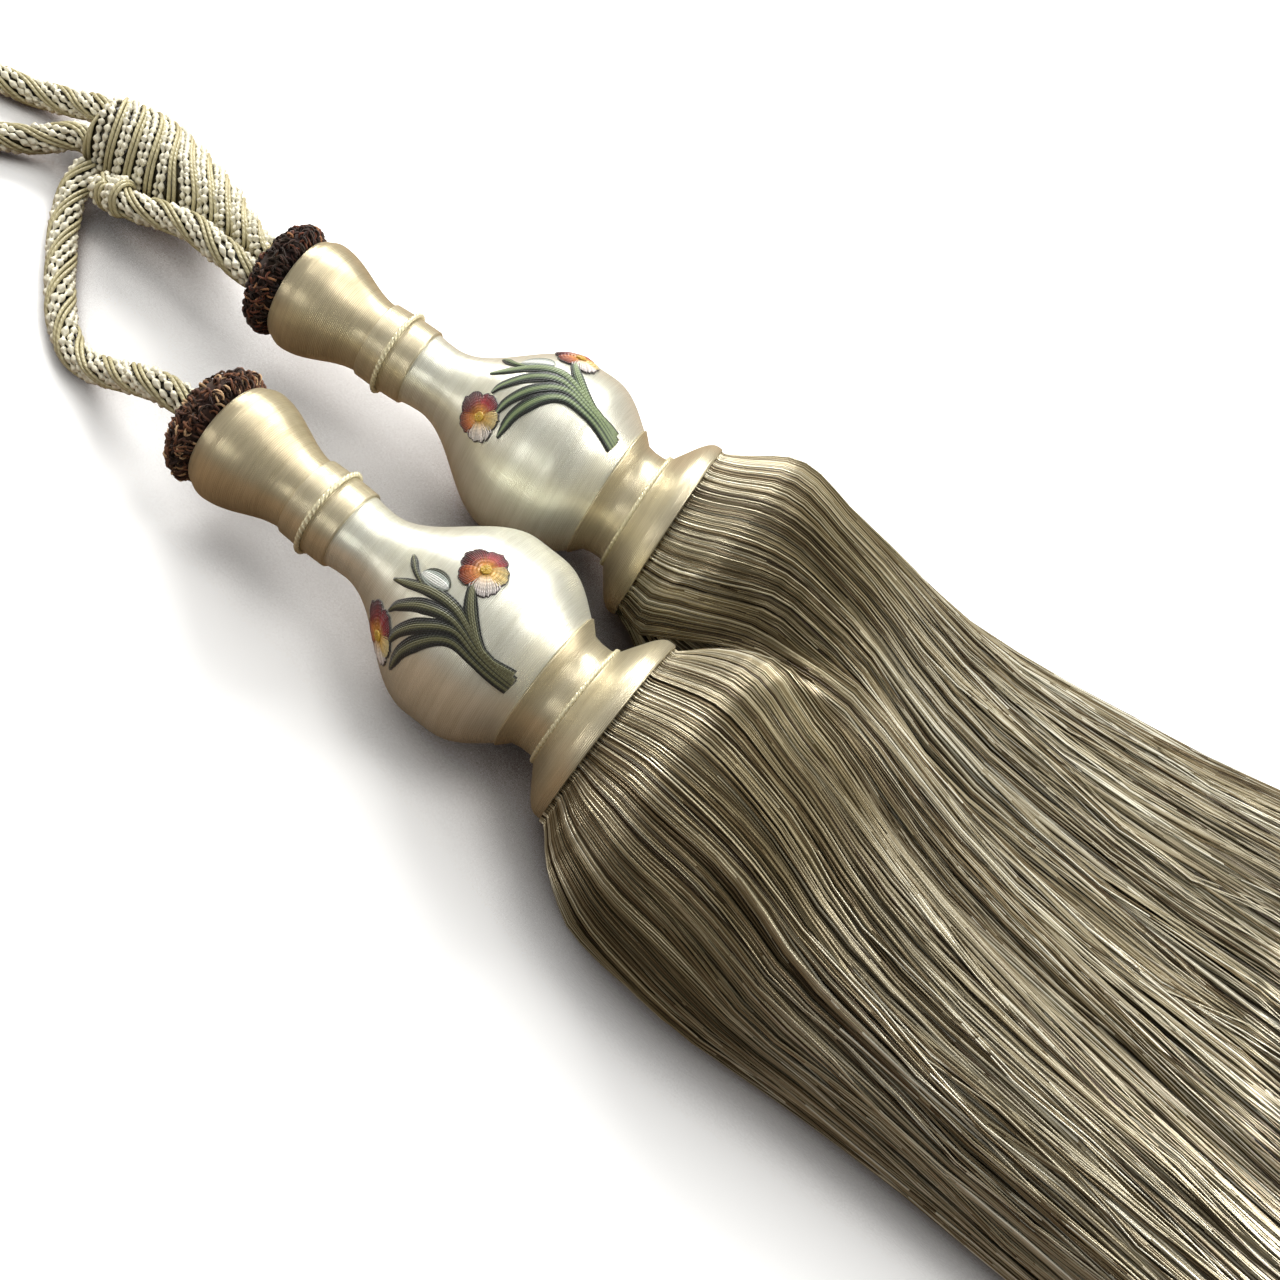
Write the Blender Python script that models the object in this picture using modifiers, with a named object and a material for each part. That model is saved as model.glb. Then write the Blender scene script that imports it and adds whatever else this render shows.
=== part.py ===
"""Curtain tieback: two large key tassels on one twisted rope, laid on a flat surface.

Each tassel has a turned head in four pieces that are wound with satin thread (cup, band, bulb and
collar), a looped ruff on the cup's mouth, and a thick skirt of yarn locks below the collar.
The rope leaves both ruffs, meets in a wound cone knot, and runs on from it as the closed loop
that holds the curtain.

Metres, +Z up. The origin is on the surface, under the rear tassel's bulb. +X runs along the
rear tassel towards the ends of its skirt, and the front tassel lies on its -Y side.
"""

import math
import random

import bmesh
import bpy
from mathutils import Vector, noise

MM = 0.001
GAP = 0.3 * MM                      # between pieces that touch on the real tieback

# ---- turned head: places along its axis, counted from the middle of the bulb ----
FACETS = 26                         # around each turned piece
BULB_RADIUS = 27.2 * MM
RIM_RADIUS = BULB_RADIUS            # bulb and collar rim both lie on the surface
AXIS_HEIGHT = BULB_RADIUS * math.cos(math.pi / FACETS)
MOUTH_END = -82.0 * MM
MOUTH_RADIUS = 14.6 * MM
FLARE_PLACE = -77.0 * MM
FLARE_RADIUS = 16.4 * MM
CUP_SEAM = -56.0 * MM
CUP_NECK_RADIUS = 10.5 * MM
BAND_SEAM = -42.0 * MM
BAND_RADIUS = 11.3 * MM
NECK_PLACE = -36.0 * MM
NECK_RADIUS = 10.0 * MM
BELT_HALF = 3.0 * MM                # the bulb's widest stretch, which carries its flat spot
COLLAR_SEAM = 19.3 * MM
WAIST_PLACE = 27.0 * MM
WAIST_RADIUS = 15.6 * MM
RIM_START = 38.2 * MM
RIM_END = 39.8 * MM
RING_HEIGHT = 0.8 * MM              # raised gold rings on band and collar
RING_HALF = 0.9 * MM
BAND_RING = -49.3 * MM
COLLAR_RING = 29.2 * MM

# ---- ruff ----
RUFF_APEX = -91.4 * MM
RUFF_RADIUS = 15.6 * MM
RUFF_FLAT = 10.6 * MM               # radius of its trimmed end, where the rope leaves
RUFF_LUMP = 0.8 * MM
RUFF_SIDES = 22

# ---- the two tassels on the surface ----
REAR_PLACE = (0.0, 0.0)
REAR_HEADING = 0.0
FRONT_PLACE = (16.2 * MM, -63.0 * MM)
FRONT_HEADING = math.radians(-5.56)

# ---- skirts ----
LOCKS_AROUND = 42
BACKING_THICKNESS = 1.2 * MM
BACKING_RADIUS = 26.4 * MM
RANKS = ((0.62, 1.0), (0.2, 0.62))  # inner and outer depth of each rank, 1 at the outside
LOCK_SLACK = 0.07                   # share of its place that a lock leaves free on each side
TIP_TAPER = 0.25
TIP_RAGGED = 5.0 * MM
SKIRT_LEAN = math.radians(12)       # the front skirt rests a little on the rear one
# along: place on the axis; side: half width away from the partner; height: above the surface
REAR_SKIRT = (
    (46.0, 29.5, 55.5),
    (57.0, 36.0, 61.5),
    (80.0, 34.5, 57.5),
    (125.0, 33.5, 46.5),
    (185.0, 46.0, 38.0),
    (262.0, 67.0, 30.0),
)
FRONT_SKIRT = (
    (46.0, 32.5, 56.0),
    (57.0, 39.5, 62.0),
    (80.0, 45.0, 60.5),
    (125.0, 42.5, 50.0),
    (185.0, 41.0, 42.0),
    (258.0, 43.0, 33.0),
)
SKIRT_NEAR_SIDE = 46.0 * MM         # half width towards the partner, where that leaves room
SETTLE_RUN = 18.0 * MM              # from the backing to where the locks lie in a broad bed

# ---- rope ----
ROPE_RADIUS = 4.4 * MM
ROPE_VALLEY = 0.78                  # radius beside a ply's crown, as a share of the rope's
ROPE_PLIES = 3
ROPE_PITCH = 42.0 * MM
ROPE_STEP = 5.4 * MM
# Route points, in millimetres, from a tassel's ruff to the knot.
REAR_ROPE = (
    (-91.8, -4.9, 26.7), (-97.0, -4.8, 26.7), (-105.0, -3.5, 26.3), (-115.5, -0.9, 24.6), (-124.0, 0.3, 21.4),
    (-133.0, 0.8, 17.6), (-141.0, 2.4, 14.6), (-148.5, 4.7, 13.4),
)
FRONT_ROPE = (
    (-75.3, -54.1, 26.9), (-80.0, -53.6, 26.7), (-89.0, -52.4, 23.8), (-101.0, -49.0, 14.6), (-111.0, -46.6, 7.4),
    (-119.5, -43.9, 4.6), (-127.0, -38.6, 4.6), (-134.5, -30.5, 4.6), (-143.0, -19.5, 4.6),
    (-150.6, -8.8, 4.8), (-156.2, 2.0, 6.4), (-158.2, 10.8, 8.9),
)
# The loop that goes round the curtain, from the knot's wide end and back to it.
LOOP_ROPE = (
    (-161.7, 27.4, 15.1), (-166.5, 27.7, 14.8), (-177.0, 29.2, 9.0), (-188.5, 28.0, 5.2),
    (-200.0, 25.0, 4.6), (-225.0, 22.0, 4.6), (-262.0, 25.0, 4.6), (-308.0, 32.0, 4.6),
    (-352.0, 34.0, 4.6), (-388.0, 24.0, 4.6), (-408.0, 2.0, 4.6), (-404.0, -26.0, 4.6),
    (-380.0, -45.0, 4.6), (-344.0, -50.0, 4.6), (-300.0, -43.0, 4.6), (-255.0, -27.0, 4.6),
    (-218.0, -11.0, 4.6), (-190.0, 2.0, 4.6), (-177.0, 10.0, 6.4), (-167.0, 16.2, 11.2),
    (-161.7, 17.0, 11.7),
)

# ---- wound knot ----
KNOT_SIDES = 12
KNOT_WRAP = 5.8 * MM                # from one wrap to the next
KNOT_RIDGE = 1.0 * MM
KNOT_RINGS_PER_WRAP = 4
# Its middle line and radius, in millimetres, from the rear ruff to its wide end.
KNOT_SHAPE = (
    (-91.8, 4.9, 26.6, 4.3),
    (-97.0, 5.4, 26.4, 4.4),
    (-108.0, 10.0, 23.4, 6.2),
    (-120.0, 15.0, 19.8, 9.2),
    (-134.0, 19.6, 15.4, 12.3),
    (-147.0, 22.2, 13.9, 13.3),
    (-160.4, 22.8, 13.3, 11.6),
)


# ---- helpers ----

def material(name, colour, roughness, sheen=0.0):
    """A Principled material of one plain colour."""
    made = bpy.data.materials.new(name)
    made.use_nodes = True
    shader = made.node_tree.nodes["Principled BSDF"]
    shader.inputs["Base Color"].default_value = (*colour, 1.0)
    shader.inputs["Roughness"].default_value = roughness
    shader.inputs["Metallic"].default_value = 0.0
    shader.inputs["Sheen Weight"].default_value = sheen
    made.diffuse_color = (*colour, 1.0)
    return made


def add_object(name, data, collection, finish=None, parent=None):
    """Put a mesh or curve into the collection as a named object."""
    made = bpy.data.objects.new(name, data)
    collection.objects.link(made)
    if finish:
        data.materials.append(finish)
    made.parent = parent
    return made


def mesh_from(name, bm):
    """Turn a finished bmesh into a mesh with round faces shaded smooth."""
    bmesh.ops.recalc_face_normals(bm, faces=bm.faces)
    mesh = bpy.data.meshes.new(name)
    bm.to_mesh(mesh)
    bm.free()
    mesh.shade_smooth()
    mesh.set_sharp_from_angle(angle=math.radians(40))
    return mesh


def swell(share, lean=1.0):
    """Goes from 0 to 1 along a soft S as share goes from 0 to 1."""
    return 0.5 - 0.5 * math.cos(math.pi * share ** lean)


def smooth_through(points, step):
    """Points about a step apart on a smooth curve through the given ones.

    Only the first three coordinates count as length, so a point may carry a radius too.
    """
    points = [Vector(p) for p in points]
    ends = [points[0] * 2 - points[1], *points, points[-1] * 2 - points[-2]]
    fine = []
    for a, b, c, d in zip(ends, ends[1:], ends[2:], ends[3:]):
        for k in range(12):
            t = k / 12
            curve = (2 * b + (c - a) * t + (2 * a - 5 * b + 4 * c - d) * t ** 2
                     + (3 * b - a - 3 * c + d) * t ** 3)
            fine.append(curve / 2)
    fine.append(points[-1])
    runs = [0.0]
    for a, b in zip(fine, fine[1:]):
        runs.append(runs[-1] + (Vector(b[:3]) - Vector(a[:3])).length)
    count = round(runs[-1] / step)
    spaced = []
    k = 0
    for n in range(count + 1):
        wanted = runs[-1] * n / count
        while k < len(fine) - 2 and runs[k + 1] < wanted:
            k += 1
        share = (wanted - runs[k]) / (runs[k + 1] - runs[k])
        spaced.append(fine[k].lerp(fine[k + 1], share))
    return spaced


def first_ring(bm, sides):
    """A closed disc to grow a solid from. Each point keeps its angle in the layer "turn"."""
    turn = bm.verts.layers.float.new("turn")
    ring = bmesh.ops.create_circle(bm, segments=sides, radius=1.0, cap_ends=True)["verts"]
    for vert in ring:
        vert[turn] = math.atan2(vert.co.y, vert.co.x)
    return ring, list(bm.edges), turn


def next_ring(bm, edges):
    """Extrude the open ring once and give its new points, edges and faces."""
    grown = bmesh.ops.extrude_edge_only(bm, edges=edges)["geom"]
    kinds = (bmesh.types.BMVert, bmesh.types.BMEdge, bmesh.types.BMFace)
    return [[g for g in grown if isinstance(g, kind)] for kind in kinds]


def around(along, radius, turn, height=0.0):
    """The point at a place along the X axis, a radius away from it."""
    return Vector((along, radius * math.cos(turn), height + radius * math.sin(turn)))


# ---- turned heads ----

def flank(start, end, steps, lean=1.0):
    """A soft S-shaped stretch of a turned profile between two (along, radius) points."""
    stretch = []
    for k in range(steps + 1):
        share = k / steps
        along = start[0] + (end[0] - start[0]) * share
        radius = start[1] + (end[1] - start[1]) * swell(share, lean)
        stretch.append((along, radius))
    return stretch


def raised_ring(place, radius):
    """The profile points of a thin ring of cord wound over a turned piece."""
    return [
        (place - RING_HALF, radius),
        (place - 0.5 * RING_HALF, radius + RING_HEIGHT),
        (place + 0.5 * RING_HALF, radius + RING_HEIGHT),
        (place + RING_HALF, radius),
    ]


def cup_profile():
    lip = flank((MOUTH_END, MOUTH_RADIUS), (FLARE_PLACE, FLARE_RADIUS), 2, lean=0.7)
    throat = flank((FLARE_PLACE, FLARE_RADIUS), (CUP_SEAM - GAP / 2, CUP_NECK_RADIUS), 5)
    return lip + throat[1:]


def band_profile():
    start = (CUP_SEAM + GAP / 2, CUP_NECK_RADIUS + 0.3 * MM)
    end = (BAND_SEAM - GAP / 2, BAND_RADIUS)
    return [start, *raised_ring(BAND_RING, BAND_RADIUS + 0.2 * MM), end]


def shared_flank(place):
    """The radius of the curve that bulb and collar share, between belt and waist."""
    share = (place - BELT_HALF) / (WAIST_PLACE - BELT_HALF)
    return BULB_RADIUS + (WAIST_RADIUS - BULB_RADIUS) * swell(share, 1.25)


def bulb_profile():
    neck = (BAND_SEAM + GAP / 2, NECK_RADIUS + 0.5 * MM)
    shoulder = flank((NECK_PLACE, NECK_RADIUS), (-BELT_HALF, BULB_RADIUS), 6)
    seam = COLLAR_SEAM - GAP / 2
    steps = 5
    below = []
    for k in range(steps + 1):
        place = BELT_HALF + (seam - BELT_HALF) * k / steps
        below.append((place, shared_flank(place)))
    return [neck, *shoulder, *below]


def collar_profile():
    start = (COLLAR_SEAM + GAP / 2, shared_flank(COLLAR_SEAM) + 0.2 * MM)
    ring = raised_ring(COLLAR_RING, WAIST_RADIUS + 1.1 * MM)
    flare = flank((WAIST_PLACE - 0.5 * MM, WAIST_RADIUS), (RIM_START, RIM_RADIUS), 6)
    flare = [p for p in flare if p[0] > COLLAR_RING + 1.5 * RING_HALF]
    return [start, (WAIST_PLACE - 3.0 * MM, WAIST_RADIUS + 0.4 * MM), *ring, *flare,
            (RIM_END, RIM_RADIUS)]


def turned(name, profile, finish, tassel, collection):
    """A solid of revolution about the tassel's axis, closed at both ends.

    The profile stands half a facet away from straight down, so one facet faces the surface.
    """
    outline = [(profile[0][0], 0.0), *profile, (profile[-1][0], 0.0)][::-1]
    turn = math.pi / FACETS
    corners = [(x, r * math.sin(turn), -r * math.cos(turn)) for x, r in outline]
    mesh = bpy.data.meshes.new(name)
    mesh.from_pydata(corners, [(k, k + 1) for k in range(len(corners) - 1)], [])
    made = add_object(name, mesh, collection, finish, tassel)
    made.location = (0.0, 0.0, AXIS_HEIGHT)
    screw = made.modifiers.new("Turn", "SCREW")
    screw.axis = "X"
    screw.angle = math.tau
    screw.steps = FACETS
    screw.render_steps = FACETS
    screw.use_merge_vertices = True
    screw.merge_threshold = 0.00001
    screw.use_smooth_shade = True
    return made


def ruff(name, finish, tassel, collection):
    """A lumpy ring of looped yarn on the cup's mouth, trimmed flat where the rope leaves."""
    base = MOUTH_END - GAP
    rows = (
        (base, 13.0 * MM, 0.0),
        (base - 2.4 * MM, RUFF_RADIUS, RUFF_LUMP),
        (base - 5.2 * MM, 0.97 * RUFF_RADIUS, RUFF_LUMP),
        (base - 7.8 * MM, 0.86 * RUFF_RADIUS, RUFF_LUMP),
        (RUFF_APEX, RUFF_FLAT, 0.0),
    )
    bm = bmesh.new()
    ring, edges, turn = first_ring(bm, RUFF_SIDES)
    for number, (along, radius, lump) in enumerate(rows):
        if number:
            ring, edges, _ = next_ring(bm, edges)
        for vert in ring:
            bump = lump * noise.noise(around(along * 260, 3.1, vert[turn]))
            vert.co = around(along, radius + bump, vert[turn])
    bmesh.ops.edgeloop_fill(bm, edges=edges)
    made = add_object(name, mesh_from(name, bm), collection, finish, tassel)
    made.location = (0.0, 0.0, AXIS_HEIGHT)
    return made


# ---- skirts ----

class Skirt:
    """The shape of one skirt: a cross-section at every place along the tassel's axis.

    A cross-section is star-shaped about its middle. It is a circle at the backing, swells to a
    mushroom, then sinks and spreads. It is cut level by the surface and by the leaning plane
    that it shares with its partner.
    """

    def __init__(self, table, partner_side, plane_at):
        root = (RIM_END + GAP + BACKING_THICKNESS, BACKING_RADIUS, AXIS_HEIGHT + BACKING_RADIUS)
        self.rows = [root] + [tuple(value * MM for value in row) for row in table]
        self.partner_side = partner_side
        self.plane_at = plane_at

    def sizes(self, along):
        """Half width and height at a place, straight between the table's rows."""
        before, after = self.rows[0], self.rows[1]
        for row in self.rows[1:]:
            after = row
            if along <= row[0]:
                break
            before = row
        share = (along - before[0]) / (after[0] - before[0]) if after[0] > before[0] else 1.0
        side = before[1] + (after[1] - before[1]) * share
        height = before[2] + (after[2] - before[2]) * share
        return side, height

    def settled(self, along):
        """0 at the backing, and 1 from where the locks lie on the surface in a broad bed."""
        return min(1.0, max(0.0, (along - self.rows[0][0]) / SETTLE_RUN))

    def middle(self, along):
        """Height of the cross-section's middle."""
        return min(AXIS_HEIGHT, 0.46 * self.sizes(along)[1])

    def point(self, along, turn, depth):
        """A point of the cross-section; depth is 0 at its middle and 1 on its outside."""
        side, height = self.sizes(along)
        middle = self.middle(along)
        y, z = math.cos(turn), math.sin(turn)
        near = y * self.partner_side > 0
        wide = min(side, SKIRT_NEAR_SIDE) if near else side
        tall = height - middle if z > 0 else middle * 1.25
        power = 2.0 if z > 0 else 2.0 + 0.9 * self.settled(along)
        reach = (abs(y / wide) ** power + abs(z / tall) ** power) ** (-1 / power)
        if z < 0:
            reach = min(reach, middle / -z)
        # The plane leans towards the rear skirt's side as it rises from half the axis height.
        lean = math.tan(SKIRT_LEAN) * self.partner_side
        room = self.plane_at(along) + lean * (middle - AXIS_HEIGHT / 2)
        closing = y * self.partner_side - lean * z
        if closing > 0:
            reach = min(reach, room / closing)
        return Vector((along, depth * reach * y, middle + depth * reach * z))


def skirt(name, shape, seed, finish, tassel, collection):
    """A backing disc whose front cells are drawn out, one by one, into locks of yarn."""
    dice = random.Random(seed)
    bm = bmesh.new()
    ring, edges, turn = first_ring(bm, LOCKS_AROUND)
    for vert in ring:
        vert.co = around(RIM_END + GAP, BACKING_RADIUS, vert[turn], AXIS_HEIGHT)
    front = shape.rows[0][0]
    depths = [RANKS[0][1]] + [inner for inner, _ in RANKS]
    ranks = []
    for number, depth in enumerate(depths):
        ring, edges, faces = next_ring(bm, edges)
        if number:
            ranks.append(faces)
        for vert in ring:
            vert.co = around(front, depth * BACKING_RADIUS, vert[turn], AXIS_HEIGHT)
    bmesh.ops.edgeloop_fill(bm, edges=edges)
    for (inner, outer), faces in zip(RANKS, ranks):
        for face in faces:
            draw_out_lock(bm, face, turn, inner, outer, shape, dice)
    return add_object(name, mesh_from(name, bm), collection, finish, tassel)


def draw_out_lock(bm, face, turn, inner, outer, shape, dice):
    """Draw one cell of the backing out through every cross-section of the skirt."""
    centre = face.calc_center_median()
    facing = math.atan2(centre.z - AXIS_HEIGHT, centre.y)
    half = math.pi / LOCKS_AROUND
    thickness = outer - inner
    slack = [LOCK_SLACK * (1 + dice.random()) for _ in range(4)]
    tip = dice.uniform(-TIP_RAGGED, TIP_RAGGED)
    corners = []
    for vert in face.verts:
        aside = math.remainder(vert[turn] - facing, math.tau)
        deep = math.hypot(vert.co.y, vert.co.z - AXIS_HEIGHT) / BACKING_RADIUS
        corners.append((aside > 0, deep > (inner + outer) / 2))
    for number, row in enumerate(shape.rows[1:], start=1):
        last = number == len(shape.rows) - 1
        along = row[0] + (tip if last else 0.0)
        taper = TIP_TAPER if last else 0.0
        face = bmesh.ops.extrude_discrete_faces(bm, faces=[face])["faces"][0]
        for vert, (left, outside) in zip(face.verts, corners):
            aside = 1 - 2 * slack[0] - taper if left else 2 * slack[1] + taper - 1
            if outside:
                depth = outer - (0.4 * slack[2] * thickness if outer < 1 else 0.0)
            else:
                depth = inner + (0.4 * slack[3] + taper / 2) * thickness
            vert.co = shape.point(along, sway(facing + half * aside, along), depth)


def sway(turn, along):
    """The locks bunch a little here and there as they run down the skirt."""
    run = min(1.0, max(0.0, (along - RIM_END) / (60 * MM)))
    return turn + run * (0.05 * math.sin(3 * turn + along * 18) + 0.03 * math.sin(5 * turn + 2.0))


# ---- rope and knot ----

def rope_section(collection):
    """The rope's cross-section: three plies side by side, as a closed outline."""
    outline = bpy.data.curves.new("rope_section", "CURVE")
    outline.dimensions = "2D"
    corners = 3 * ROPE_PLIES
    spline = outline.splines.new("POLY")
    spline.points.add(corners - 1)
    for k, point in enumerate(spline.points):
        turn = -math.tau * k / corners
        radius = ROPE_RADIUS * (1.0 if k % 3 == 0 else ROPE_VALLEY)
        point.co = (radius * math.cos(turn), radius * math.sin(turn), 0.0, 1.0)
    spline.use_cyclic_u = True
    made = add_object("rope_section", outline, collection)
    made.hide_render = True
    made.display_type = "WIRE"
    return made


def rope(name, route, section, finish, collection):
    """A laid rope along a route: its three-ply section turns as it goes."""
    points = smooth_through([Vector(p) * MM for p in route], ROPE_STEP)
    line = bpy.data.curves.new(name, "CURVE")
    line.dimensions = "3D"
    line.bevel_mode = "OBJECT"
    line.bevel_object = section
    line.use_fill_caps = True
    line.twist_mode = "MINIMUM"
    spline = line.splines.new("POLY")
    spline.points.add(len(points) - 1)
    run = 0.0
    for k, (point, place) in enumerate(zip(spline.points, points)):
        if k:
            run += (place - points[k - 1]).length
        point.co = (*place, 1.0)
        point.tilt = math.tau * run / ROPE_PITCH
    return add_object(name, line, collection, finish)


def knot(name, finish, collection):
    """The wound knot: a tapering body with its wraps raised as one helical ridge."""
    rows = smooth_through([Vector(row) * MM for row in KNOT_SHAPE],
                          KNOT_WRAP / KNOT_RINGS_PER_WRAP)
    middles = [row.to_3d() for row in rows]
    bm = bmesh.new()
    ring, edges, turn = first_ring(bm, KNOT_SIDES)
    run = 0.0
    for number, (middle, row) in enumerate(zip(middles, rows)):
        if number:
            ring, edges, _ = next_ring(bm, edges)
            run += (middle - middles[number - 1]).length
        axis = middles[min(number + 1, len(rows) - 1)] - middles[max(number - 1, 0)]
        across = Vector((0, 0, 1)).cross(axis).normalized()
        upward = axis.cross(across).normalized()
        for vert in ring:
            valley = 0.5 - 0.5 * math.cos(math.tau * run / KNOT_WRAP - vert[turn])
            radius = row[3] - KNOT_RIDGE * valley
            vert.co = middle + radius * (across * math.cos(vert[turn])
                                         + upward * math.sin(vert[turn]))
    bmesh.ops.edgeloop_fill(bm, edges=edges)
    return add_object(name, mesh_from(name, bm), collection, finish)


# ---- assembly ----

def tassel(label, place, heading, shape, seed, finishes, collection):
    """One whole tassel, its pieces parented to an empty on the surface under its bulb."""
    stand = bpy.data.objects.new(label + "_tassel", None)
    collection.objects.link(stand)
    stand.location = (*place, 0.0)
    stand.rotation_euler = (0.0, 0.0, heading)
    satin = finishes["satin"]
    turned("cup_" + label, cup_profile(), satin, stand, collection)
    turned("band_" + label, band_profile(), satin, stand, collection)
    turned("bulb_" + label, bulb_profile(), satin, stand, collection)
    turned("collar_" + label, collar_profile(), satin, stand, collection)
    ruff("ruff_" + label, finishes["ruff"], stand, collection)
    skirt("skirt_" + label, shape, seed, finishes["yarn"], stand, collection)


def front_axis_y(x):
    """Where the front tassel's axis lies, for a place along X."""
    return FRONT_PLACE[1] + (x - FRONT_PLACE[0]) * math.tan(FRONT_HEADING)


def rear_room(along):
    """Half the way from the rear tassel's axis to the front one's, less the gap."""
    return -front_axis_y(along) / 2 - GAP


def front_room(along):
    """The same, measured square to the front tassel's axis."""
    x = FRONT_PLACE[0] + along * math.cos(FRONT_HEADING)
    return -front_axis_y(x) / 2 * math.cos(FRONT_HEADING) - GAP


def build():
    for old in list(bpy.data.objects):
        bpy.data.objects.remove(old, do_unlink=True)
    parts = bpy.data.collections.new("tieback")
    guides = bpy.data.collections.new("guides")
    bpy.context.scene.collection.children.link(parts)
    bpy.context.scene.collection.children.link(guides)
    finishes = {
        "satin": material("satin_thread", (0.60, 0.56, 0.44), 0.32, sheen=0.3),
        "ruff": material("looped_yarn", (0.10, 0.05, 0.03), 0.95),
        "yarn": material("skirt_yarn", (0.33, 0.29, 0.20), 0.55, sheen=0.3),
    }
    rope_finish = material("rope_yarn", (0.55, 0.51, 0.38), 0.7)
    rear = Skirt(REAR_SKIRT, -1, rear_room)
    front = Skirt(FRONT_SKIRT, 1, front_room)
    tassel("rear", REAR_PLACE, REAR_HEADING, rear, 11, finishes, parts)
    tassel("front", FRONT_PLACE, FRONT_HEADING, front, 23, finishes, parts)
    section = rope_section(guides)
    rope("rope_rear", REAR_ROPE, section, rope_finish, parts)
    rope("rope_front", FRONT_ROPE, section, rope_finish, parts)
    rope("rope_loop", LOOP_ROPE, section, rope_finish, parts)
    knot("knot", rope_finish, parts)


build()
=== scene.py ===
"""The finish of a curtain tieback: two key tassels on one twisted rope with a wound knot.

Metres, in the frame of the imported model: +Z up, the rear tassel along +X, the front one on its -Y side.
The pieces come in the order in which the tieback is made: ropes and knot, turned heads with their
ruffs and embroidered sprigs, and last the skirts.
"""

import math

import bmesh
import bpy
import numpy as np
from mathutils import Matrix, Vector


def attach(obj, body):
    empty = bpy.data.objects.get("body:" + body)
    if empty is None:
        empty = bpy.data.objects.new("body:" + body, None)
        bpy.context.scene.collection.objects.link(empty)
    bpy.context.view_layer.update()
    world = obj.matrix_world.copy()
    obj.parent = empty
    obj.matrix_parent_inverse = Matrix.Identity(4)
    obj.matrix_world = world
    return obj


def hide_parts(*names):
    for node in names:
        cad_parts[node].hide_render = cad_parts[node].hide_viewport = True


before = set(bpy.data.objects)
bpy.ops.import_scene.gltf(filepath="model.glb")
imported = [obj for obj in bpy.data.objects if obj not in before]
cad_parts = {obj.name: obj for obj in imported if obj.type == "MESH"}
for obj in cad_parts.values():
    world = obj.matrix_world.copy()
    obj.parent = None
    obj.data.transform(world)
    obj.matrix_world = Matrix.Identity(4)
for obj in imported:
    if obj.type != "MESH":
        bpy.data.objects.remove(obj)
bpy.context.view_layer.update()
MM = 0.001


# ---- Table top, light and camera ----
# The tieback lies on a plain pale table top. A large soft panel stands behind it on the heads' side, with
# weaker lamps above, beside the skirts, and in front of the heads. The camera looks down from the front,
# turned clockwise.

ELEVATION = math.radians(51.15)
AZIMUTH = math.radians(0.13)
ROLL = math.radians(33.4)
DISTANCE = 399.6 * MM
AIM = Vector((49.5, -31.4, 20.0)) * MM
FOCAL_PIXELS = 1510
FRAME_PIXELS = 1280
SENSOR = 36.0
NEAREST_SEEN = 10 * MM

TABLE_HALF = 6.0
TABLE_COLOUR = (0.86, 0.86, 0.85)
TABLE_ROUGHNESS = 0.7
# painted light: the table's own glow, strongest where it lies open
TABLE_GLOW = 0.42
GLOW_REACH = 50 * MM
GLOW_SAMPLES = 4
# how open to the light a place is before it glows or turns pale, and how fast it then does
GLOW_FROM, GLOW_RISE = 0.22, 1.28
PALE_FROM, PALE_RISE = 0.28, 2.4
BLACK = (0, 0, 0)
WHITE = (1, 1, 1)
# painted shade: the dark brown the table takes in narrow gaps
GAP_PAINTED_SHADE = (0.10, 0.06, 0.035)
# painted bounce: the warm brown the table shows to everything but the camera
WARM_BOUNCE = (0.21, 0.13, 0.075)
SKY_COLOUR = (1.0, 0.99, 0.97)
SKY_LOW = 0.13
SKY_HIGH = 0.44
SKY_SEEN = 0.55
# name, direction to the lamp from the tieback, distance, width, height, watts, colour
LAMPS = (
    ("lamp_behind", (-0.52, 0.66, 0.54), 1.5, 0.90, 0.50, 30.0, (1.0, 0.99, 0.97)),
    ("lamp_over", (0.10, 0.10, 0.98), 1.5, 0.60, 0.45, 7.0, (1.0, 0.985, 0.96)),
    ("lamp_side", (0.85, 0.45, 0.42), 1.5, 0.70, 0.50, 16.5, (1.0, 0.98, 0.95)),
    ("lamp_front", (-0.76, -0.60, 0.38), 1.5, 0.45, 0.30, 4.2, (1.0, 0.97, 0.92)),
)

back = Vector((
    math.sin(AZIMUTH) * math.cos(ELEVATION),
    -math.cos(AZIMUTH) * math.cos(ELEVATION),
    math.sin(ELEVATION),
))
right = Vector((math.cos(AZIMUTH), math.sin(AZIMUTH), 0.0))
upward = back.cross(right)
turned_view = Matrix((right, upward, back)).transposed().to_4x4() @ Matrix.Rotation(ROLL, 4, "Z")


def put(name, data):
    """Add an object to the scene."""
    made = bpy.data.objects.new(name, data)
    bpy.context.scene.collection.objects.link(made)
    return made


camera_data = bpy.data.cameras.new("camera")
camera_data.sensor_width = SENSOR
camera_data.lens = SENSOR * FOCAL_PIXELS / FRAME_PIXELS
camera_data.clip_start = NEAREST_SEEN
camera = put("camera", camera_data)
camera.matrix_world = Matrix.Translation(AIM + back * DISTANCE) @ turned_view
bpy.context.scene.camera = camera
bpy.context.scene.view_settings.view_transform = "Standard"

for name, direction, distance, width, height, watts, colour in LAMPS:
    lamp_data = bpy.data.lights.new(name, "AREA")
    lamp_data.shape = "RECTANGLE"
    lamp_data.size = width
    lamp_data.size_y = height
    lamp_data.energy = watts
    lamp_data.color = colour
    lamp = put(name, lamp_data)
    direction = Vector(direction).normalized()
    lamp.location = AIM + direction * distance
    lamp.rotation_euler = direction.to_track_quat("Z", "Y").to_euler()


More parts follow.
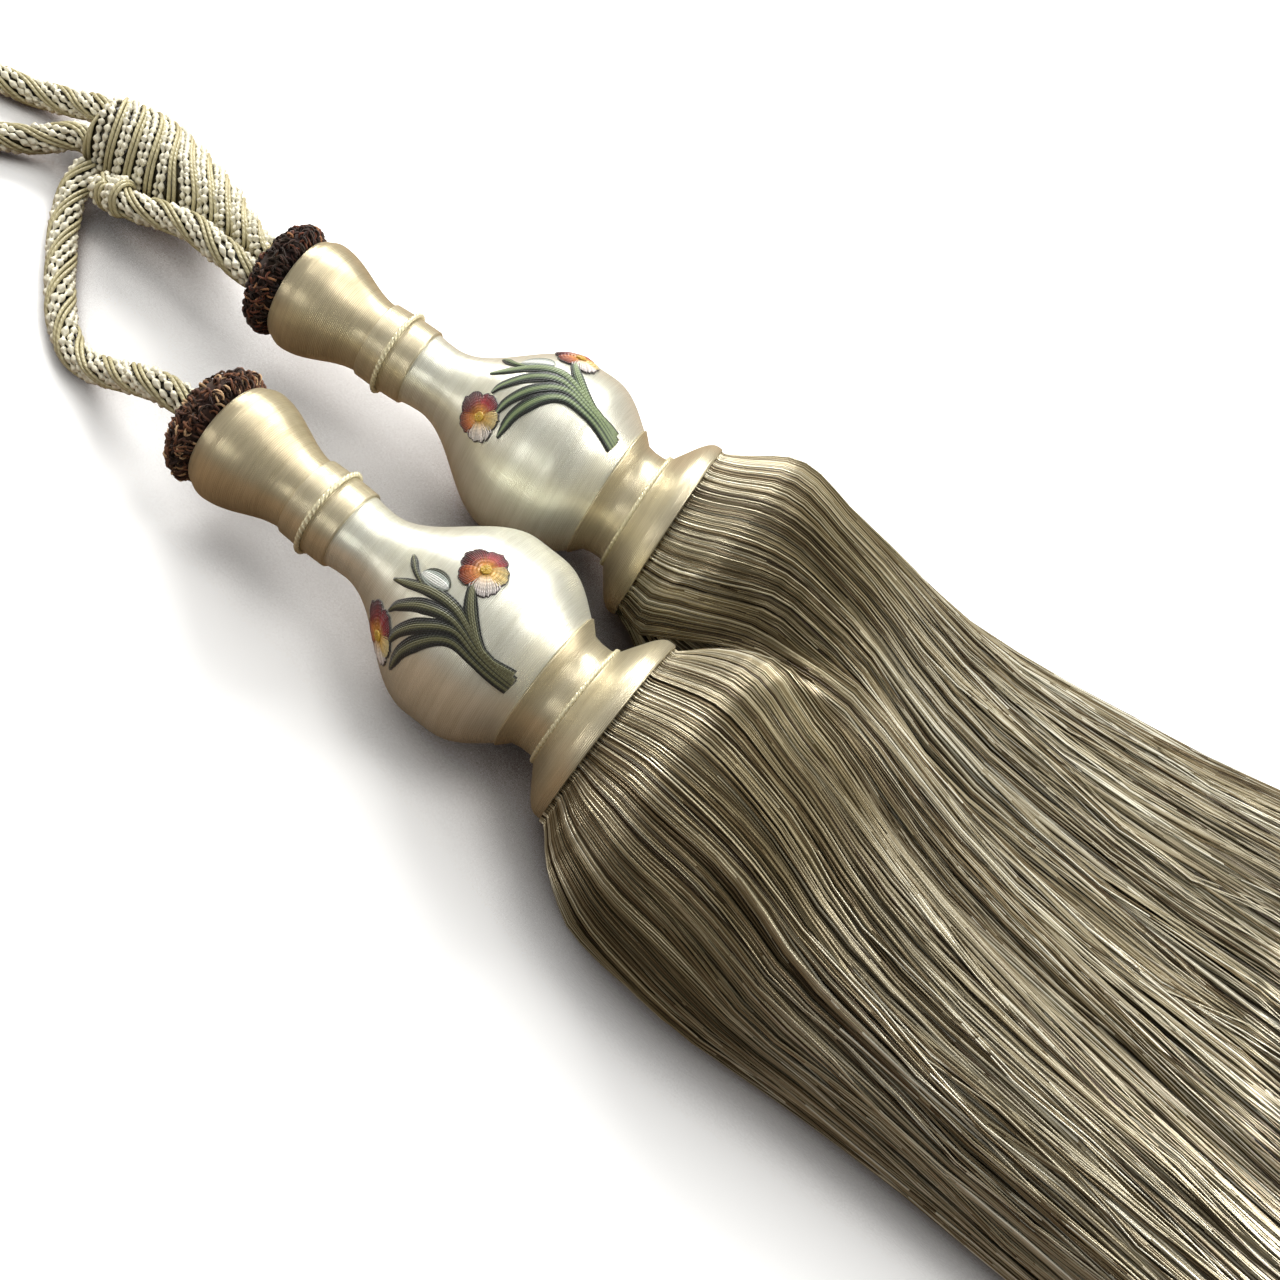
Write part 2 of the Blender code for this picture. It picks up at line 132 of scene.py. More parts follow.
class Shade:
    """A value that varies over a surface. Python's operators on it add the Math nodes."""

    def __init__(self, nodes, socket):
        self.nodes = nodes
        self.socket = socket

    def math(self, operation, *values):
        return self.nodes.node("ShaderNodeMath", {"operation": operation}, dict(enumerate(values)))

    def __add__(self, other):
        return self.math("ADD", self, other)

    def __sub__(self, other):
        return self.math("SUBTRACT", self, other)

    def __rsub__(self, other):
        return self.math("SUBTRACT", other, self)

    def __mul__(self, other):
        return self.math("MULTIPLY", self, other)

    def sine(self):
        return self.math("SINE", self)

    def clipped(self):
        return self.nodes.node("ShaderNodeClamp", {}, {"Value": self})

    __radd__ = __add__
    __rmul__ = __mul__


class Nodes:
    """The nodes of one material or of the sky."""

    def __init__(self, tree):
        self.tree = tree

    def feed(self, socket, value):
        if isinstance(value, Shade):
            self.tree.links.new(value.socket, socket)
        else:
            socket.default_value = value

    def node(self, kind, settings=None, sockets=None, output=0):
        """Add a node: first its settings, then the values or links of its sockets."""
        node = self.tree.nodes.new(kind)
        for word, value in (settings or {}).items():
            setattr(node, word, value)
        for socket, value in (sockets or {}).items():
            self.feed(node.inputs[socket], value)
        return Shade(self, node.outputs[output])


class Finish(Nodes):
    """A material of one Principled shader, and the nodes that vary it over a surface."""

    def __init__(self, name, **constants):
        self.material = bpy.data.materials.new(name)
        self.material.use_nodes = True
        super().__init__(self.material.node_tree)
        self.shader = self.tree.nodes["Principled BSDF"]
        for words, value in constants.items():
            self.shader.inputs[words.replace("_", " ").title().replace("Ior", "IOR")].default_value = value

    def set(self, socket, value):
        self.feed(self.shader.inputs[socket], value)

    def colours(self, factor, first, second):
        """A blend of two colours, each a tuple of three or a Shade."""
        first, second = (c if isinstance(c, Shade) else (*c, 1.0) for c in (first, second))
        return self.node("ShaderNodeMix", {"data_type": "RGBA"}, {0: factor, 6: first, 7: second}, output=2)

    def place(self, location=(0.0, 0.0, 0.0), turn=0.0, scale=(1.0, 1.0, 1.0)):
        """Object coordinates on a tassel at a location, turned about Z, stretched by a scale."""
        where = self.node("ShaderNodeTexCoord", output=3)
        centred = self.node("ShaderNodeMapping", {"vector_type": "TEXTURE"},
                            {"Vector": where, "Location": location, "Rotation": (0.0, 0.0, turn)})
        return self.node("ShaderNodeMapping", {"vector_type": "POINT"}, {"Vector": centred, "Scale": scale})

    def noise(self, where, scale, detail=2.0):
        return self.node("ShaderNodeTexNoise", {}, {"Vector": where, "Scale": scale, "Detail": detail})

    def bump(self, height, depth):
        self.set("Normal", self.node("ShaderNodeBump", {}, {"Height": height, "Distance": depth}))


def dye(red, green, blue):
    """A colour as a printer names it, from 0 to 255, made linear."""
    return tuple(
        part / 255 / 12.92 if part <= 10 else ((part / 255 + 0.055) / 1.055) ** 2.4
        for part in (red, green, blue)
    )


def as_mesh(bm, name):
    """Turn a finished bmesh into a mesh."""
    mesh = bpy.data.meshes.new(name)
    bm.to_mesh(mesh)
    bm.free()
    return mesh


# the backdrop itself looks pale, while the light from it stays low
sky = bpy.data.worlds.new("studio")
sky.use_nodes = True
sky_nodes = Nodes(sky.node_tree)
background = sky.node_tree.nodes["Background"]
upwards = sky_nodes.node("ShaderNodeSeparateXYZ", {}, {0: sky_nodes.node("ShaderNodeTexCoord")}, output=2)
light = sky_nodes.node("ShaderNodeMapRange", {}, {"Value": upwards, "To Min": SKY_LOW, "To Max": SKY_HIGH})
sky_nodes.feed(background.inputs["Color"], (*SKY_COLOUR, 1.0))
sky_nodes.feed(background.inputs["Strength"], sky_nodes.node("ShaderNodeLightPath") * SKY_SEEN + light)
bpy.context.scene.world = sky

# the table glows where it lies open, a painted light that lifts its shadows, and is painted a dark brown
# shade in narrow gaps.
# It throws a warm light back: to everything but the camera it is warm brown, a painted bounce
table_finish = Finish("table_top", roughness=TABLE_ROUGHNESS, emission_strength=TABLE_GLOW)
opened = table_finish.node("ShaderNodeAmbientOcclusion", {"samples": GLOW_SAMPLES}, {"Distance": GLOW_REACH},
                           output=1)
glowing = ((opened - GLOW_FROM) * GLOW_RISE).clipped()
table_finish.set("Emission Color", table_finish.colours(glowing, BLACK, WHITE))
# painted shade: the table turns from dark brown to pale as it opens to the light
paling = ((opened - PALE_FROM) * PALE_RISE).clipped()
table_finish.set("Base Color", table_finish.colours(paling, GAP_PAINTED_SHADE, TABLE_COLOUR))
bounce = table_finish.node("ShaderNodeBsdfDiffuse", {}, {"Color": (*WARM_BOUNCE, 1.0)})
seen = table_finish.node("ShaderNodeLightPath")
pale = Shade(table_finish, table_finish.shader.outputs[0])
surface = table_finish.node("ShaderNodeMixShader", {}, {0: seen, 1: bounce, 2: pale})
table_finish.feed(table_finish.tree.nodes["Material Output"].inputs["Surface"], surface)
bm = bmesh.new()
bmesh.ops.create_grid(bm, x_segments=1, y_segments=1, size=TABLE_HALF)
table_mesh = as_mesh(bm, "table_top")
table_mesh.materials.append(table_finish.material)
table = put("table_top", table_mesh)


# ---- The laid ropes ----
# Three-strand rope of viscose and cotton, 8.8 mm thick, laid right-handed. Each strand is a pair of smooth
# gimp cords beside two nubby cream yarns, twisted round a soft core that is painted near black as the shade
# in the gaps between the strands. One length leaves each ruff for the knot, and one comes out of the knot
# again as the loop for the curtain.

ROPE_PITCH = 42 * MM
ROPE_STRANDS = 3
CORE_RADIUS = 2.7 * MM
CORE_SIDES = 8
CORD_RADIUS = 0.56 * MM
NUB_RADIUS = 0.64 * MM
NUB_SWELL = 0.74
NUB_LENGTH = 2.6 * MM
NUB_LENGTHS_VARY = (0.65, 1.35)
NUB_SIZES = (0.75, 1.15)
NUB_WAVER = 0.45 * MM
THREAD_SIDES = 6
CORD_COLOUR = dye(190, 181, 142)
NUB_COLOUR = dye(236, 231, 208)
# painted shade: the core is near black so that the gaps between strands and wraps look shaded
CORE_SHADE_DYE = dye(24, 19, 9)
# step along the rope, places round a strand in degrees, distance out, thread radius, colour
ROPE_YARNS = (
    (1.8 * MM, (-42.0, -20.0), 3.75 * MM, CORD_RADIUS, CORD_COLOUR),
    (0.6 * MM, (9.0, 46.0), 3.35 * MM, NUB_RADIUS, NUB_COLOUR),
)
# steps between two given points of a line, and any direction that no line starts in
LINE_STEPS = 24
START_ASIDE = (0.31, 0.19, 0.93)
MOTTLE_DYE = dye(110, 98, 66)
MOTTLE_SCALE = 260.0
MOTTLE_FROM = 0.35
MOTTLE_RISE = 3.0
FUZZ_SCALE = 2200.0
FUZZ_SHARE = 0.8
PLIES = 2

REAR_ROPE = (
    (-91.8, -4.9, 26.7), (-97, -4.8, 26.7), (-105, -3.5, 26.3), (-115.5, -0.9, 24.6), (-124, 0.3, 21.4),
    (-133, 0.8, 17.6), (-141, 2.4, 14.6), (-148.5, 4.7, 13.4),
)
FRONT_ROPE = (
    (-75.3, -54.1, 26.9), (-80, -53.6, 26.7), (-89, -52.4, 23.8), (-101, -49, 14.6),
    (-111, -46.6, 7.4), (-119.5, -43.9, 4.6), (-127, -38.6, 4.6), (-134.5, -30.5, 4.6),
    (-143, -19.5, 4.6), (-150.6, -8.8, 4.8), (-156.2, 2, 6.4), (-158.2, 10.8, 8.9),
)
LOOP_ROPE = (
    (-161.7, 27.4, 15.1), (-166.5, 27.7, 14.8), (-177, 29.2, 9), (-188.5, 28, 5.2),
    (-200, 25, 4.6), (-225, 22, 4.6), (-262, 25, 4.6), (-308, 32, 4.6),
    (-352, 34, 4.6), (-388, 24, 4.6), (-408, 2, 4.6), (-404, -26, 4.6),
    (-380, -45, 4.6), (-344, -50, 4.6), (-300, -43, 4.6), (-255, -27, 4.6),
    (-218, -11, 4.6), (-190, 2, 4.6), (-177, 10, 6.4), (-167, 16.2, 11.2),
    (-161.7, 17, 11.7),
)


def rows_at(wanted, run, rows):
    """Rows of numbers along a run, read at the wanted lengths."""
    return np.column_stack([np.interp(wanted, run, column) for column in rows.T])


def smooth_line(points, step):
    """Rows a step apart on a smooth curve through the given ones. Columns past the third ride along."""
    points = np.array(points, float)
    ends = np.vstack([2 * points[0] - points[1], points, 2 * points[-1] - points[-2]])
    t = np.linspace(0, 1, LINE_STEPS, endpoint=False)[:, None]
    fine = [
        (2 * b + (c - a) * t + (2 * a - 5 * b + 4 * c - d) * t ** 2 + (3 * b - a - 3 * c + d) * t ** 3) / 2
        for a, b, c, d in zip(ends, ends[1:], ends[2:], ends[3:])
    ]
    fine = np.vstack([*fine, points[-1:]])
    run = run_of(fine)
    return rows_at(np.linspace(0, run[-1], round(run[-1] / step) + 1), run, fine)


def run_of(lines):
    """Length along a line, or along each of many lines, at each of its points."""
    steps = np.linalg.norm(np.diff(lines[..., :3], axis=-2), axis=-1)
    return np.concatenate([np.zeros((*steps.shape[:-1], 1)), np.cumsum(steps, axis=-1)], axis=-1)


def unit(vectors):
    return vectors / np.linalg.norm(vectors, axis=-1, keepdims=True)


def square_to(lines):
    """Two directions square to lines (..., points, 3), carried along them without spin."""
    ahead = unit(np.gradient(lines, axis=-2))
    aside = np.empty_like(lines)
    aside[..., 0, :] = unit(np.cross(ahead[..., 0, :], START_ASIDE))
    for k in range(1, lines.shape[-2]):
        carried = aside[..., k - 1, :]
        carried = carried - (carried * ahead[..., k, :]).sum(-1, keepdims=True) * ahead[..., k, :]
        aside[..., k, :] = unit(carried)
    return aside, np.cross(ahead, aside)


def spokes(turn, aside, above):
    """Directions at a turn from aside towards above."""
    return np.cos(turn)[:, None] * aside + np.sin(turn)[:, None] * above


class Threads:
    """Many thin round threads that become one mesh, each with its dye and closed ends."""

    def __init__(self):
        self.corners = []
        self.faces = []
        self.wound = []
        self.dyes = []
        self.count = 0

    def lay(self, lines, radii, sides, colours):
        """Lines are (threads, points, 3). Radii and colours fit them, or are the same for all."""
        threads, points = lines.shape[:2]
        radii = np.broadcast_to(radii, (threads, points))
        colours = np.broadcast_to(colours, (threads, points, 3))
        share = np.arange(sides) / sides
        aside, above = (direction[:, :, None] for direction in square_to(lines))
        ring = spokes(math.tau * share, aside, above)
        self.corners.append((lines[:, :, None] + radii[:, :, None, None] * ring).reshape(-1, 3))
        self.dyes.append(np.repeat(colours.reshape(-1, 3), sides, axis=0))
        number = self.count + np.arange(threads * points * sides).reshape(threads, points, sides)
        after = np.roll(number, -1, axis=2)
        quads = np.stack([number[:, :-1], after[:, :-1], after[:, 1:], number[:, 1:]], axis=-1)
        self.faces += quads.reshape(-1, 4).tolist()
        self.faces += number[:, 0, ::-1].tolist() + number[:, -1].tolist()
        run = run_of(lines)
        turn = np.stack([share, share + 1 / sides, share + 1 / sides, share], axis=-1)
        along = np.stack([run[:, :-1], run[:, :-1], run[:, 1:], run[:, 1:]], axis=-1)[:, :, None]
        wound = np.stack(np.broadcast_arrays(along, turn), axis=-1)
        self.wound += [wound.reshape(-1), np.zeros(2 * threads * sides * 2)]
        self.count += threads * points * sides

    def make(self, name, finish):
        mesh = bpy.data.meshes.new(name)
        mesh.from_pydata(np.vstack(self.corners), [], self.faces)
        mesh.uv_layers.new(name="thread").uv.foreach_set("vector", np.concatenate(self.wound))
        give_dyes(mesh, np.vstack(self.dyes))
        mesh.shade_smooth()
        return add_piece(name, mesh, finish)


def give_dyes(mesh, dyes):
    """Store a dye for each corner of a mesh."""
    dyes = np.column_stack([dyes, np.ones(len(dyes))])
    mesh.attributes.new("dye", "FLOAT_COLOR", "POINT").data.foreach_set("color", dyes.ravel())


def add_piece(name, mesh, finish):
    """Add a finished mesh as a piece of the tieback."""
    mesh.materials.append(finish.material)
    made = put(name, mesh)
    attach(made, "root")
    return made


def thread_finish(name, pitch, groove, mottle, **constants):
    """Dyed yarn: each thread keeps its own dye, and its plies wind round it."""
    finish = Finish(name, **constants)
    colour = finish.node("ShaderNodeAttribute", {"attribute_name": "dye"})
    where = finish.place()
    patches = (finish.noise(where, MOTTLE_SCALE) - MOTTLE_FROM) * (MOTTLE_RISE * mottle)
    finish.set("Base Color", finish.colours(patches, colour, MOTTLE_DYE))
    if pitch:
        wound = finish.node("ShaderNodeUVMap", {"uv_map": "thread"})
        run = finish.node("ShaderNodeSeparateXYZ", {}, {0: wound}, output=0)
        turn = finish.node("ShaderNodeSeparateXYZ", {}, {0: wound}, output=1)
        plies = ((run * (1 / pitch) + turn * PLIES) * math.tau).sine()
        finish.bump(plies + finish.noise(where, FUZZ_SCALE) * FUZZ_SHARE, groove)
    return finish


rope_finish = thread_finish("rope_yarn", pitch=1.6 * MM, groove=0.05 * MM, mottle=0.3, roughness=0.38)


def nubs(run, dice):
    """A nubby yarn along its run: its swelling radius, and how far it wavers sideways and outwards."""
    count = int(run[-1] / NUB_LENGTH) + 3
    places = np.cumsum(dice.uniform(*NUB_LENGTHS_VARY, count)) * NUB_LENGTH
    places = places * (run[-1] + 2 * NUB_LENGTH) / places[-1] - NUB_LENGTH
    size = dice.uniform(*NUB_SIZES, count)
    phase = np.interp(run, places, np.arange(count))
    swell = np.abs(np.cos(math.pi * phase)) * np.interp(run, places, size)
    waver = NUB_WAVER * np.interp(run, places, dice.uniform(-1, 1, count))
    lift = 0.5 * NUB_WAVER * np.interp(run, places, dice.uniform(-1, 1, count))
    return NUB_RADIUS * (1 - NUB_SWELL + 2 * NUB_SWELL * swell), waver, lift


def lay_rope(name, route, seed):
    """A rope's strands wound round its smooth middle line. Gives the piece and that line."""
    dice = np.random.default_rng(seed)
    threads = Threads()
    for step, places, out, radius, colour in ROPE_YARNS:
        middle = smooth_line(np.array(route) * MM, step)
        run = run_of(middle)
        aside, above = square_to(middle)
        for strand in range(ROPE_STRANDS):
            for place in places:
                turn = math.tau * (run / ROPE_PITCH + strand / ROPE_STRANDS) + math.radians(place)
                thickness, lift = np.full(len(run), radius), np.zeros(len(run))
                if colour is NUB_COLOUR:
                    thickness, waver, lift = nubs(run, dice)
                    turn = turn + waver / out
                line = middle + (out + lift)[:, None] * spokes(turn, aside, above)
                line[:, 2] = np.maximum(line[:, 2], thickness)
                threads.lay(line[None], thickness, THREAD_SIDES, colour)
        if colour is CORD_COLOUR:
            threads.lay(middle[None], CORE_RADIUS, CORE_SIDES, CORE_SHADE_DYE)
            path = middle
    made = threads.make(name, rope_finish)
    return made, path


ropes, paths = {}, {}
for label, route, node, seed in (("rear", REAR_ROPE, "rope_rear", 3), ("front", FRONT_ROPE, "rope_front", 5),
                                 ("loop", LOOP_ROPE, "rope_loop", 7)):
    ropes[label], paths[label] = lay_rope("laid_rope_" + label, route, seed)
    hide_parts(node)


# ---- The wound knot ----
# One strand unit, two gimp cords beside two nubby yarns, is wound in slanting wraps over the ropes where
# they meet, and on over the wide end. The unit lies in a shallow arch, so each wrap looks rounded. A last
# wrap binds the rear rope's end to the knot.

WRAP = 9 * MM
WRAP_POINTS = 130
WRAP_GRID = 400
# the wraps lie closer over the wide end: by how much, from which share of the way on, and over which
WRAP_CLOSER = 0.30
CLOSER_FROM = 0.48
CLOSER_OVER = 0.2
WIDE_END_WOUND = 0.95
# the wraps' slant, as a share of the radius, is less near the two ends
WRAP_LEAN = 1.2
LEAN_SIDE = math.radians(18.0)
LEAN_AT_START = 0.4 * MM
LEAN_GROWS = 0.8
LEAN_ENDS = 0.4
MOST_SPREAD = 1.35
KNOT_SKIN = 1.9 * MM
KNOT_STEP = 0.5 * MM
KNOT_CORE_SIDES = 20
LEAST_RADIUS = 0.3 * MM
CLOSING_ROWS = 12
END_BULGE = 2.6 * MM
BINDING_RADIUS = 5.9 * MM
BINDING_WRAPS = 1.35
BINDING_START = 10 * MM
BINDING_CLOSER = 0.7
BINDING_TURN = -1.0
BINDING_POINTS = 150
# each end of the binding is tucked in over a twelfth of its length
TUCK = 3 * MM
TUCKED_HALF = 1 / 6
# place across the unit, thread radius, colour
UNIT = ((-3.2 * MM, CORD_RADIUS, CORD_COLOUR), (-1.9 * MM, CORD_RADIUS, CORD_COLOUR),
        (0.5 * MM, NUB_RADIUS, NUB_COLOUR), (2.9 * MM, NUB_RADIUS, NUB_COLOUR))
UNIT_HALF = 3.5 * MM
UNIT_SINK = 0.9 * MM
CORD_SINK = 0.6
# middle line and radius, in millimetres
KNOT_SHAPE = (
    (-91.8, 4.9, 26.6, 4.3), (-97, 5.4, 26.4, 4.4), (-108, 10, 23.4, 6.2), (-120, 15, 19.8, 9.2),
    (-134, 19.6, 15.4, 12.3), (-147, 22.2, 13.9, 13.3), (-160.4, 22.8, 13.3, 11.6),
)


def wound_at(middle, radius, along, turn):
    """Points round a middle line at a turn from its level side, out from it by a radius."""
    ahead = unit(np.gradient(middle, axis=0))
    aside = unit(np.cross((0.0, 0, 1), ahead))
    run = run_of(middle)
    centre, aside, above = (rows_at(along, run, rows) for rows in (middle, aside, np.cross(ahead, aside)))
    return centre + radius[:, None] * spokes(turn, aside, above)


def lay_unit(threads, line_at, dice):
    """Lay the unit's cords and nubby yarns side by side. line_at gives a line from its place and lift."""
    for place, radius, colour in UNIT:
        sunk = UNIT_SINK * (place / UNIT_HALF) ** 2
        if colour is NUB_COLOUR:
            thickness, waver, lift = nubs(run_of(line_at(place, 0.0)), dice)
            line = line_at(place + waver, lift - radius - sunk)
        else:
            line = line_at(place, -CORD_SINK * radius - sunk)
            thickness = np.full(len(line), radius)
        line[:, 2] = np.maximum(line[:, 2], thickness)
        threads.lay(line[None], thickness, THREAD_SIDES, colour)


knot_rows = smooth_line(np.array(KNOT_SHAPE) * MM, KNOT_STEP)
knot_length = run_of(knot_rows)[-1]
knot_end = knot_rows[-1, 3]
closing = np.linspace(0, 1, CLOSING_ROWS + 1)[1:, None]
end_ahead = unit(knot_rows[-1:, :3] - knot_rows[-2:-1, :3])
closing_line = knot_rows[-1:, :3] + END_BULGE * np.sin(closing * math.pi / 2) * end_ahead
knot_rows = np.vstack([knot_rows, np.hstack([closing_line, knot_end * (1 - closing)])])
# length along the knot's outside, over its side and on to the middle of its wide end
skin_run = np.concatenate([run_of(knot_rows[:-CLOSING_ROWS]), knot_length + knot_end * closing[:, 0]])
middle_run = run_of(knot_rows)


def winding_at(place, lift):
    """The slanting helix of wraps, from the ruff over the side and the wide end."""
    end = knot_length + WIDE_END_WOUND * knot_end
    grid = np.linspace(0.0, end, WRAP_GRID)
    closer = WRAP_CLOSER * np.clip((grid - CLOSER_FROM * end) / (CLOSER_OVER * end), 0, 1)
    turns = np.cumsum((grid[1] - grid[0]) / (WRAP * (1 - closer)))
    count = np.arange(0.0, turns[-1], 1 / WRAP_POINTS)
    base = np.interp(count, turns, grid)
    turn = count * math.tau
    lean = WRAP_LEAN * np.interp(base, skin_run, knot_rows[:, 3])
    lean = np.minimum(np.minimum(lean, LEAN_GROWS * base + LEAN_AT_START), LEAN_ENDS * (end - base))
    # where the slant draws the wraps apart, the unit spreads
    slant = np.cos(turn - LEAN_SIDE)
    spread = (np.gradient(base, count) - np.gradient(lean, count) * slant) / WRAP
    skin = np.clip(base + place * np.clip(spread, 1.0, MOST_SPREAD) - lean * slant, 0.0, skin_run[-1])
    radius = np.maximum(np.interp(skin, skin_run, knot_rows[:, 3]) + lift, LEAST_RADIUS)
    return wound_at(knot_rows[:, :3], radius, np.interp(skin, skin_run, middle_run), turn)


def binding_at(place, lift):
    """The last wrap, round the rear rope's end."""
    rope = paths["rear"]
    share = np.linspace(0, 1, BINDING_POINTS)
    turn = BINDING_WRAPS * math.tau * share
    along = run_of(rope)[-1] - BINDING_START + BINDING_CLOSER * (place + turn / math.tau * WRAP)
    tucked = np.clip(1 - (1 - np.abs(2 * share - 1)) / TUCKED_HALF, 0, 1) ** 2
    return wound_at(rope, BINDING_RADIUS - TUCK * tucked + lift, along, turn + BINDING_TURN)


dice = np.random.default_rng(17)
threads = Threads()
# the knot's core, painted near black as the shade between its wraps
knot_core = knot_rows[None, :-CLOSING_ROWS // 2]
threads.lay(knot_core[..., :3], knot_core[..., 3] - KNOT_SKIN, KNOT_CORE_SIDES, CORE_SHADE_DYE)
lay_unit(threads, winding_at, dice)
lay_unit(threads, binding_at, dice)
knot = threads.make("wound_knot", rope_finish)
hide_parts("knot")


# ---- The turned heads ----
# Each head is turned wood in four pieces on one spindle, closely wound with satin thread that runs
# round it: a trumpet-shaped cup, a short band, a pear-shaped bulb and a flared collar. A thin gold
# cord is laid round the band and round the collar.

AXIS_HEIGHT = 27 * MM
SEATS = {
    "rear": ((0.0, 0.0, AXIS_HEIGHT), 0.0),
    "front": ((16.2 * MM, -63 * MM, AXIS_HEIGHT), math.radians(-5.56)),
}
SPIN_STEPS = 96
SHARP = math.radians(50)
SAME_PLACE = 0.001 * MM
BULB_RADIUS = AXIS_HEIGHT
CUP_SEAM = -56 * MM
BAND_SEAM = -42 * MM
COLLAR_SEAM = 19.3 * MM
WAIST = (27 * MM, 15.6 * MM)
RIM = (38.2 * MM, 27 * MM)
RIM_END = 39.8 * MM
NECK = (-36 * MM, 10 * MM)
BELT_HALF = 3 * MM
SEAM = -0.15 * MM
# the bulb's thread is paler than the other pieces', and the cup's a little darker
SATIN_DYES = {
    "bulb": (dye(236, 236, 221), dye(188, 184, 160)),
    "cup": (dye(203, 191, 159), dye(134, 118, 80)),
}
SATIN_USUAL = (dye(213, 203, 174), dye(155, 141, 105))
SATIN_METAL = 0.64
SATIN_ROUGHNESS = 0.26
SATIN_UNEVEN = 0.14
WINDING = 0.42 * MM
WINDING_GROOVE = 0.06 * MM
STREAK_SCALE = 3400.0
BAND_SCALE = 420.0
STREAKS_RUN = (1.0, 0.045, 0.045)
STREAK_TONE = 0.7
BAND_TONE = 0.9
TONE_FROM = 0.62
WINDING_RELIEF = 0.5
STREAK_RELIEF = 0.8
GOLD_COLOUR = dye(226, 218, 184)
GOLD_RADIUS = 0.5 * MM
GOLD_LAY = 0.55
GOLD_PROUD = 0.7
GOLD_TWIST = 3.2 * MM
GOLD_POINTS = 121
# name, place along the axis, radius of the wood under it
GOLD_CORDS = (("band", -49.3 * MM, 11.7 * MM), ("collar", 29.2 * MM, 16.6 * MM))


def seat(label):
    """The matrix that puts a tassel made along +X onto its place on the table."""
    place, heading = SEATS[label]
    return Matrix.Translation(place) @ Matrix.Rotation(heading, 4, "Z")


def seated(points, label):
    """Points of a tassel made along +X, put onto their place on the table."""
    matrix = np.array(seat(label))
    return points @ matrix[:3, :3].T + matrix[:3, 3]


def swell(share, lean=1.0):
    return 0.5 - 0.5 * np.cos(math.pi * np.asarray(share) ** lean)


def flank(start, end, steps, lean=1.0):
    """A soft S-shaped stretch of a turned profile between two (along, radius) points."""
    share = np.linspace(0, 1, steps + 1)
    along = start[0] + (end[0] - start[0]) * share
    return list(zip(along, start[1] + (end[1] - start[1]) * swell(share, lean)))


def shoulder_below(along):
    """Radius of the curve that bulb and collar share, between belt and waist."""
    share = (along - BELT_HALF) / (WAIST[0] - BELT_HALF)
    return BULB_RADIUS + (WAIST[1] - BULB_RADIUS) * swell(share, 1.25)


def rounded(along, radius, size, side):
    """A small round edge at the end of a turned piece. Side is 1 where the edge looks along +X."""
    share = np.linspace(0, math.pi / 2, 4)
    if side < 0:
        share = share[::-1]
    return [(along - side * size * (1 - math.sin(s)), radius - size * (1 - math.cos(s))) for s in share]


def around(along, radius, turn):
    """Points round the X axis at a turn, out from it by a radius."""
    return np.stack(np.broadcast_arrays(along, radius * np.cos(turn), radius * np.sin(turn)), axis=-1)


bulb_below = np.linspace(BELT_HALF, COLLAR_SEAM - SEAM, 26)
PROFILES = {
    "cup": [
        *rounded(-82 * MM, 14.6 * MM, 0.7 * MM, -1),
        *flank((-81.2 * MM, 14.9 * MM), (-77 * MM, 16.4 * MM), 7, 0.7),
        *flank((-77 * MM, 16.4 * MM), (CUP_SEAM - SEAM, 10.5 * MM), 26)[1:],
    ],
    "band": [
        *rounded(CUP_SEAM + SEAM, 11.2 * MM, 0.4 * MM, -1),
        (-51 * MM, 11.4 * MM), (-49.3 * MM, 11.5 * MM), (-47.5 * MM, 11.4 * MM),
        *rounded(BAND_SEAM - SEAM, 11.3 * MM, 0.5 * MM, 1),
    ],
    "bulb": [
        (BAND_SEAM + SEAM, 10.6 * MM), (-39 * MM, 10.15 * MM),
        *flank(NECK, (-BELT_HALF, BULB_RADIUS), 40),
        (0.0, BULB_RADIUS),
        *zip(bulb_below, shoulder_below(bulb_below)),
    ],
    "collar": [
        *rounded(COLLAR_SEAM + SEAM, shoulder_below(COLLAR_SEAM) + 0.5 * MM, 0.4 * MM, -1),
        (22.5 * MM, 16.7 * MM), (25 * MM, 16.2 * MM), (27.5 * MM, 16.2 * MM), (29.2 * MM, 16.5 * MM),
        *[p for p in flank((WAIST[0] - 0.5 * MM, WAIST[1]), RIM, 22) if p[0] > 31 * MM],
        *rounded(RIM_END, RIM[1], 0.5 * MM, 1),
    ],
}


def satin_finish(name, label, dyes):
    """Silky thread wound round a turned piece, with the faint streaks of its turns."""
    finish = Finish(name, roughness=SATIN_ROUGHNESS, metallic=SATIN_METAL)
    place, heading = SEATS[label]
    along = finish.node("ShaderNodeSeparateXYZ", {}, {0: finish.place(place, heading)})
    stretched = finish.place(place, heading, STREAKS_RUN)
    streaks = finish.noise(stretched, STREAK_SCALE, 3.0)
    bands = finish.noise(stretched, BAND_SCALE)
    darker = (streaks * STREAK_TONE + bands * BAND_TONE - TONE_FROM).clipped()
    finish.set("Base Color", finish.colours(darker, *dyes))
    finish.set("Roughness", bands * SATIN_UNEVEN + SATIN_ROUGHNESS)
    turns = (along * (math.tau / WINDING)).sine()
    finish.bump(turns * WINDING_RELIEF + streaks * STREAK_RELIEF, WINDING_GROOVE)
    return finish


def turned(name, outline, label, finish):
    """Spin a profile round the tassel's axis into a closed piece on its seat."""
    bm = bmesh.new()
    outline = [(outline[0][0], 0.0), *outline, (outline[-1][0], 0.0)]
    corners = [bm.verts.new((along, 0.0, radius)) for along, radius in outline]
    edges = [bm.edges.new(pair) for pair in zip(corners, corners[1:])]
    bmesh.ops.spin(bm, geom=corners + edges, cent=(0, 0, 0), axis=(1, 0, 0), angle=math.tau,
                   steps=SPIN_STEPS, use_merge=True)
    bmesh.ops.remove_doubles(bm, verts=bm.verts, dist=SAME_PLACE)
    bmesh.ops.recalc_face_normals(bm, faces=bm.faces)
    bm.transform(seat(label))
    mesh = as_mesh(bm, name)
    mesh.shade_smooth()
    mesh.set_sharp_from_angle(angle=SHARP)
    return add_piece(name, mesh, finish)


